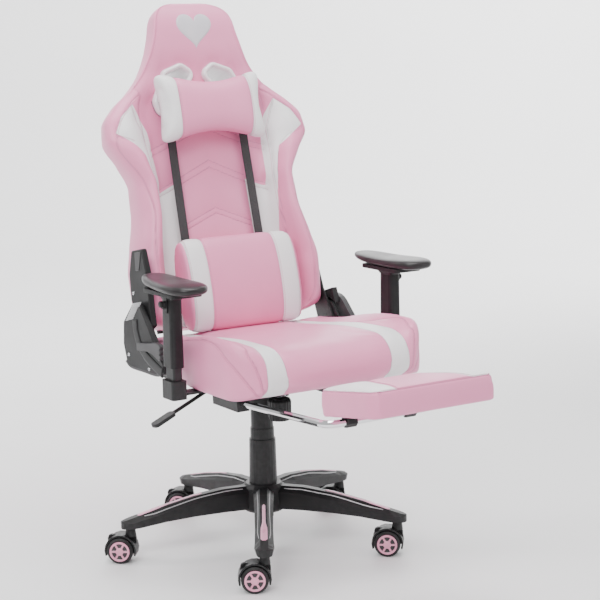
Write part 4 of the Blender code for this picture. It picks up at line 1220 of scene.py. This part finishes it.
# %% Embroidery
def make_heart(centre, size, rings=16, turns=96):
    """x = 16 sin^3 t, z = 13 cos t - 5 cos 2t - 2 cos 3t - cos 4t, scaled. The height over the
    leather is 1.1 mm inside and falls below it at the rim by a steep power of the way out."""
    t = 2 * np.pi * np.arange(turns) / turns
    up = 13 * np.cos(t) - 5 * np.cos(2 * t) - 2 * np.cos(3 * t) - np.cos(4 * t) + 2.5
    rim = np.stack([16 * np.sin(t) ** 3, up], -1) / 16
    way = np.linspace(0.04, 1, rings)
    flat = rim[None] * way[:, None, None] * size + centre
    over = np.insert(flat.reshape(-1, 2), 1, -0.05, axis=1)
    tree = BVHTree.FromObject(back_cover, bpy.context.evaluated_depsgraph_get())
    inward = Vector(LEAN @ np.array([0, 1, 0]))
    hits = [tree.ray_cast(Vector(p), inward) for p in from_back(over)]
    spot, facing = np.array([h[0] for h in hits]), np.array([h[1] for h in hits])
    lift = np.repeat(0.0014 - 0.0020 * way**14, turns)
    top = (spot + facing * lift[:, None]).reshape(rings, turns, 3)
    under = (spot - facing * 0.0012).reshape(rings, turns, 3)[::-1]
    return put(solid("heart_embroidery", np.concatenate([top, under]), SILVER_THREAD), "back")


make_heart(np.array([0.0, 0.711]), 0.048)


# %% [markdown]
# ## Armrests
# Each armrest's top is a soft pad on a steel plate: a long saddle, wide and thick at the front,
# that dips in the middle and turns up at the rear. It is one closed loft along its length.

# %% Armrest pads
ARM_X, ARM_Y, SLEEVE_TOP = 0.286, -0.115, 0.640


def make_arm_pad(name, side):
    """Sections along t from -1 (front) to 1 (rear): half width and half thickness fall to the ends
    by (1 - |t|^p)^(1/q); the middle line rises by a square law, more steeply at the rear."""
    t = np.sin(np.linspace(-1, 1, 57) * np.pi / 2)
    wide = (0.0455 - 0.0075 * t) * (1 - np.abs(t) ** 3.4) ** (1 / 2.2)
    thick = (0.0128 - 0.0022 * t) * (1 - np.abs(t) ** 5) ** (1 / 2.4)
    middle = 0.0205 + 0.0030 * t**2 + 0.0035 * np.maximum(t, 0) ** 2 - 0.0035 * np.maximum(-t, 0) ** 3
    ring = superellipse(48, 2.6)
    dip = 0.0035 * (1 - ring[:, 0] ** 2) * (ring[:, 1] > 0) * ring[:, 1]
    x = wide[:, None] * ring[:, 0]
    z = middle[:, None] + thick[:, None] * ring[:, 1] - dip[None] * (1 - t[:, None] ** 2)
    y = np.broadcast_to(0.119 * t[:, None], x.shape)
    rows = np.stack([x, y - 0.005, z], -1)[1:-1]
    toed = rows @ np.array(Matrix.Rotation(side * math.radians(4), 3, "Z")).T
    piece = solid(f"arm_top_{name}", toed + (side * ARM_X, ARM_Y, SLEEVE_TOP) + COLUMN, SKIN)
    stand_in(piece, f"arm_{name}", f"arm_pad_{name}", 1.0)
    plate = [(-0.028, -0.062), (0.028, -0.062), (0.030, 0.058), (-0.030, 0.058)]
    flat = rounded_outline(plate, 0.008) + (side * ARM_X, ARM_Y - 0.004)
    plate = slab(f"arm_top_plate_{name}", flat, SLEEVE_TOP + 0.0002, SLEEVE_TOP + 0.0095, COVER_BLACK,
                 0.0015, 2)
    put(plate, f"arm_{name}")


def turned(name, profile, place, axis, material, steps=32):
    """A profile of (radius, distance) spun about an axis through a place: a closed body of revolution."""
    axis = np.asarray(axis, float) / np.linalg.norm(axis)
    first = np.cross(axis, (0.3, 0.2, 0.9))
    first /= np.linalg.norm(first)
    second = np.cross(axis, first)
    a = 2 * np.pi * np.arange(steps) / steps
    spokes = np.cos(a)[:, None] * first + np.sin(a)[:, None] * second
    profile = np.asarray(profile, float)
    rows = profile[:, :1, None] * spokes[None] + profile[:, 1, None, None] * axis
    return solid(name, rows, material, lambda points: points + np.asarray(place))


def make_arm_knob(name, side):
    """The T-shaped catch on a small upright plate beside the sleeve's top."""
    z = SLEEVE_TOP - 0.020
    outline = rounded_outline([(-0.006, -0.017), (0.006, -0.017), (0.006, 0.016), (-0.006, 0.016)],
                              0.003) + (ARM_Y, z)
    faces = sorted((side * (ARM_X + 0.0130), side * (ARM_X + 0.0175)))
    put(slab(f"arm_catch_plate_{name}", outline, *faces, BLACK, 0.001), f"arm_{name}")
    profile = [(0.0001, 0), (0.0035, 0), (0.0035, 0.006), (0.0062, 0.0065), (0.0070, 0.008),
               (0.0070, 0.0115),
               (0.0060, 0.013), (0.0001, 0.0132)]
    place = COLUMN + (side * (ARM_X + 0.017), ARM_Y, z)
    put(turned(f"arm_catch_{name}", profile, place, (side, 0, 0), BLACK, 24), f"arm_button_{name}")


for name, side in SIDES:
    make_arm_pad(name, side)
    make_arm_knob(name, side)


# %% [markdown]
# ## Recliner covers
# The hinge at each side is boxed in moulded covers. On the sitter's right there is a tall upper
# cover that leans with the back and a deep lower one, with a silver strip and a raised band.

# %% Covers
def ribbed(corners, x, out, count, material, name):
    """A parallelogram of ridges: the height is a row of half sines along its length."""
    a, b, c, d = (np.array(p) for p in corners)
    u, v = np.linspace(0, 1, count * 6 + 1)[:, None, None], np.linspace(0, 1, 5)[None, :, None]
    flat = (a * (1 - u) + d * u) * (1 - v) + (b * (1 - u) + c * u) * v
    high = 0.0008 + 0.0016 * np.abs(np.sin(np.pi * count * u[..., 0])) + 0 * v[..., 0]
    edge = (v[..., 0] > 0) & (v[..., 0] < 1) & (u[..., 0] > 0) & (u[..., 0] < 1)
    top = np.concatenate([(x + out * np.where(edge, high, -0.001))[..., None], flat], -1)
    under = np.concatenate([np.full(flat.shape[:2] + (1,), x - out * 0.0012), flat], -1)
    rows, cols = flat.shape[:2]
    loop = np.concatenate([top, under[:, ::-1]], 1)
    return solid(name, loop, material, on_column)


UPPER = [(0.119, 0.706), (0.068, 0.716), (0.045, 0.655), (0.034, 0.573), (0.028, 0.545), (0.050, 0.530),
         (0.100, 0.545), (0.127, 0.592), (0.133, 0.652)]
LOWER = [(0.097, 0.590), (0.144, 0.543), (0.148, 0.491), (0.131, 0.444), (0.110, 0.4385),
         (-0.015, 0.4400), (-0.050, 0.452), (-0.048, 0.470), (-0.012, 0.505), (0.020, 0.545),
         (0.060, 0.590)]
PANEL = [(0.101, 0.704), (0.070, 0.709), (0.081, 0.665), (0.097, 0.663)]
STRIP_AT = [(0.096, 0.590), (0.050, 0.600), (0.088, 0.556), (0.137, 0.543)]
SKIRT = [(0.136, 0.452), (0.112, 0.4425), (0.05, 0.4425), (-0.012, 0.4435), (-0.046, 0.454)]
BAND = [(0.082, 0.556), (0.079, 0.528), (0.062, 0.500), (0.030, 0.478), (-0.010, 0.463), (-0.044, 0.453)]


def moulded_strip(name, line, wide, thick, material):
    """A flat rounded section carried along a line on the outside of the lower cover."""
    section = superellipse(20, 4.0) * (wide, thick)
    rows = carry(polyline(line, 0.004), section, np.array([-1.0, 0, 0]))
    put(solid(name, rows, material, on_column), "seat")


def make_covers():
    """The left side's covers and trims; x values are the layers that the hinge leaves them."""
    upper = slab("hinge_cover_upper", UPPER, -0.2625, -0.2480, COVER_BLACK, 0.0035)
    stand_in(upper, "back", "cover_back_left")
    put(slab("hinge_cover_panel", PANEL, -0.2640, -0.2600, COVER_GREY, 0.0012), "back")
    lower = slab("hinge_cover_lower", LOWER, -0.2765, -0.2628, COVER_BLACK, 0.0040)
    stand_in(lower, "seat", "cover_seat_left")
    put(ribbed(STRIP_AT, -0.2762, -1, 9, SILVER, "hinge_cover_strip"), "seat")
    moulded_strip("hinge_cover_band", [(-0.2765, y, z) for y, z in BAND], 0.0115, 0.0022, BLACK)
    moulded_strip("hinge_cover_skirt", [(-0.2700, y, z) for y, z in SKIRT], 0.0036, 0.0072, COVER_GREY)


make_covers()

# %% Recline lever
CLAW = [(0.060, 0.489), (0.010, 0.494), (-0.012, 0.493), (-0.030, 0.488), (-0.046, 0.482),
        (-0.054, 0.485), (-0.056, 0.493), (-0.050, 0.496), (-0.056, 0.502), (-0.051, 0.508),
        (-0.057, 0.514), (-0.049, 0.520), (-0.028, 0.521), (0.004, 0.514), (0.060, 0.506)]


def make_recline_lever():
    """The pull-up lever: a claw-shaped outline with thick rounded edges."""
    low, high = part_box("recline_lever")
    piece = slab("recline_lever_grip", CLAW, low.x + 0.0004 - COLUMN[0], high.x - COLUMN[0], COVER_GREY,
                 0.0028)
    stand_in(piece, "recline_lever", "recline_lever")


make_recline_lever()

# %% [markdown]
# ## The base
# Each leg of the star carries a pink keyhole-shaped insert between two thin silver strips, painted highlights of
# the light along the leg's ridge facets. They
# lie on the leg: each point is dropped onto it from above. Every wheel has a pink disc of six spokes.

# %% Leg trims
LEG_TURN = [math.radians(-121.1 - 72 * k) for k in range(5)]
base_tree = BVHTree.FromObject(NODES["base_star"], bpy.context.evaluated_depsgraph_get())


def drop(points):
    """The points moved down onto the base, or left out of reach as they are."""
    hits = [base_tree.ray_cast(Vector((x, y, 0.4)), Vector((0, 0, -1)))[0] for x, y in points]
    return np.array([h if h else (x, y, 0.0) for h, (x, y) in zip(hits, points)])


def leg_strip(name, turn, radii, halves, offset, lift, material):
    """A strip along a leg: half widths at radii, at an offset to the side, over the leg's top by a lift."""
    r = np.linspace(radii[0], radii[-1], 70)
    half = np.maximum(through(radii, halves, r), 1e-4)
    v = np.linspace(-1, 1, 7)
    across = through(radii, offset, r)[:, None] + half[:, None] * v
    ahead, aside = np.array([math.cos(turn), math.sin(turn)]), np.array([-math.sin(turn), math.cos(turn)])
    flat = r[:, None, None] * ahead + across[..., None] * aside + COLUMN[:2]
    top = drop(flat.reshape(-1, 2)).reshape(flat.shape[:2] + (3,))
    top[..., 2] += lift * (1 - v**6) - 0.0006
    under = top.copy()
    under[..., 2] -= lift + 0.0016
    return put(solid(name, np.concatenate([top, under[:, ::-1]], 1), material), "base")


for k, turn in enumerate(LEG_TURN, 1):
    leg_strip(f"leg_insert_{k}", turn, [0.150, 0.157, 0.230, 0.246, 0.260, 0.296, 0.303],
              [0.001, 0.0038, 0.0044, 0.0064, 0.0092, 0.0094, 0.004],
              [0.0] * 7, 0.0018, PINK_PLASTIC)
    # Two thin silver strips per leg are painted highlights: the bright lines that light draws along the leg's
    # ridge facets.
    for side in (-1, 1):
        leg_strip(f"painted_leg_highlight_{k}_{'ab'[side > 0]}", turn, [0.055, 0.10, 0.18, 0.26, 0.290],
                  [0.0008, 0.0010, 0.0010, 0.0010, 0.0007],
                  [side * c for c in (0.0150, 0.0138, 0.0130, 0.0142, 0.0120)], 0.0012, SILVER)
print("leg trims", 3 * len(LEG_TURN))


# %% Wheel discs
def two_plastics():
    """Pink plastic with dark hollows, told apart by the 'pink' mask kept on the vertices."""
    material, tree, principled = shader("wheel_disc", Roughness=0.3, Coat_Weight=0.3)
    mask = node(tree, "Attribute", attribute_name="pink").outputs["Fac"]
    tone = use_group(tree, "mottle", Color=(0.80, 0.33, 0.47, 1), Other=(0.74, 0.28, 0.42, 1), Scale=60.0)
    colours = {"Fac": mask, "Color1": (0.012, 0.011, 0.012, 1), "Color2": tone.outputs["Color"]}
    tree.links.new(node(tree, "MixRGB", colours).outputs[0], principled.inputs["Base Color"])
    bump(tree, principled, use_group(tree, "grain", Scale=1200.0).outputs["Height"], 0.00005, 0.5)
    return material


def make_discs(k, material, rings=22, turns=96):
    """Both outer discs of a castor's wheels: a polar grid raised 2 mm where a rim, a boss or one of
    six spokes covers it. Covering is a smooth step of the distance from each one's edge."""
    axis = np.array(next(j["axis"] for j in frame["joints"] if j["name"] == f"wheel_roll_{k}"), float)
    axis /= np.linalg.norm(axis)
    co = coords(NODES[f"wheels_{k}"])
    middle = 0.5 * (co.min(0) + co.max(0))
    along = (co - middle) @ axis
    face = np.abs(along).max()
    r = np.concatenate([[0.0006], np.linspace(0.0015, 0.0222, rings - 3), [0.0228, 0.0228]])[:, None]
    a = (2 * np.pi * np.arange(turns) / turns)[None]
    step = lambda d: np.clip(d / 0.0007 + 0.5, 0, 1)
    from_spoke = r * np.abs(np.sin((a * 6 % (2 * np.pi) - np.pi) / 6))
    pink = np.maximum.reduce([step(r - 0.0180) + 0 * a, step(0.0092 - r) + 0 * a,
                              step(0.0021 - from_spoke)])
    high = 0.0004 + 0.0018 * pink + 0.0007 * step(0.0080 - r)
    high[-1] = -0.0010
    up = np.array([0, 0, 1.0])
    spokes = np.cos(a)[..., None] * up + np.sin(a)[..., None] * np.cross(axis, up)
    pieces = []
    for sign in (-1, 1):
        rows = middle + r[..., None] * spokes + sign * (face + high)[..., None] * axis
        base_row = middle + 0.0222 * spokes + sign * (face - 0.0012) * axis
        piece = solid(f"disc_{k}_{sign}", np.concatenate([rows, base_row]), material)
        set_attribute(piece, "pink", np.concatenate([pink.reshape(-1), np.zeros(turns), [1, 0]]))
        pieces.append(piece)
    return put(joined(f"wheel_discs_{k}", pieces), f"wheels_{k}")


disc_finish = two_plastics()
for k in range(1, 6):
    make_discs(k, disc_finish)
print("wheel discs at both faces of 5 castors")


# %% [markdown]
# ## Fastenings
# Small bolt heads show where the hinge covers are fixed. Each is one profile spun round its
# own axis, domed, with a socket sunk in the middle.

# %% Bolts
BOLT = [(0.0001, 0.0012), (0.0018, 0.0012), (0.0020, 0.0030), (0.0034, 0.0026), (0.0044, 0.0012),
        (0.0045, -0.0010), (0.0001, -0.0012)]
BOLTS = [  # name, body, place from the column, direction it faces
    ("cover_seat_a", "seat", (-0.2762, 0.118, 0.470), (-1, 0, 0)),
    ("cover_seat_b", "seat", (-0.2762, 0.020, 0.452), (-1, 0, 0)),
    ("cover_back", "back", (-0.2622, 0.112, 0.610), (-1, 0, 0)),
]
for name, body, place, facing in BOLTS:
    put(turned(f"bolt_{name}", BOLT, COLUMN + place, facing, STEEL, 18), body)
print("bolts", len(BOLTS))


# %% Finish
thread_pieces()
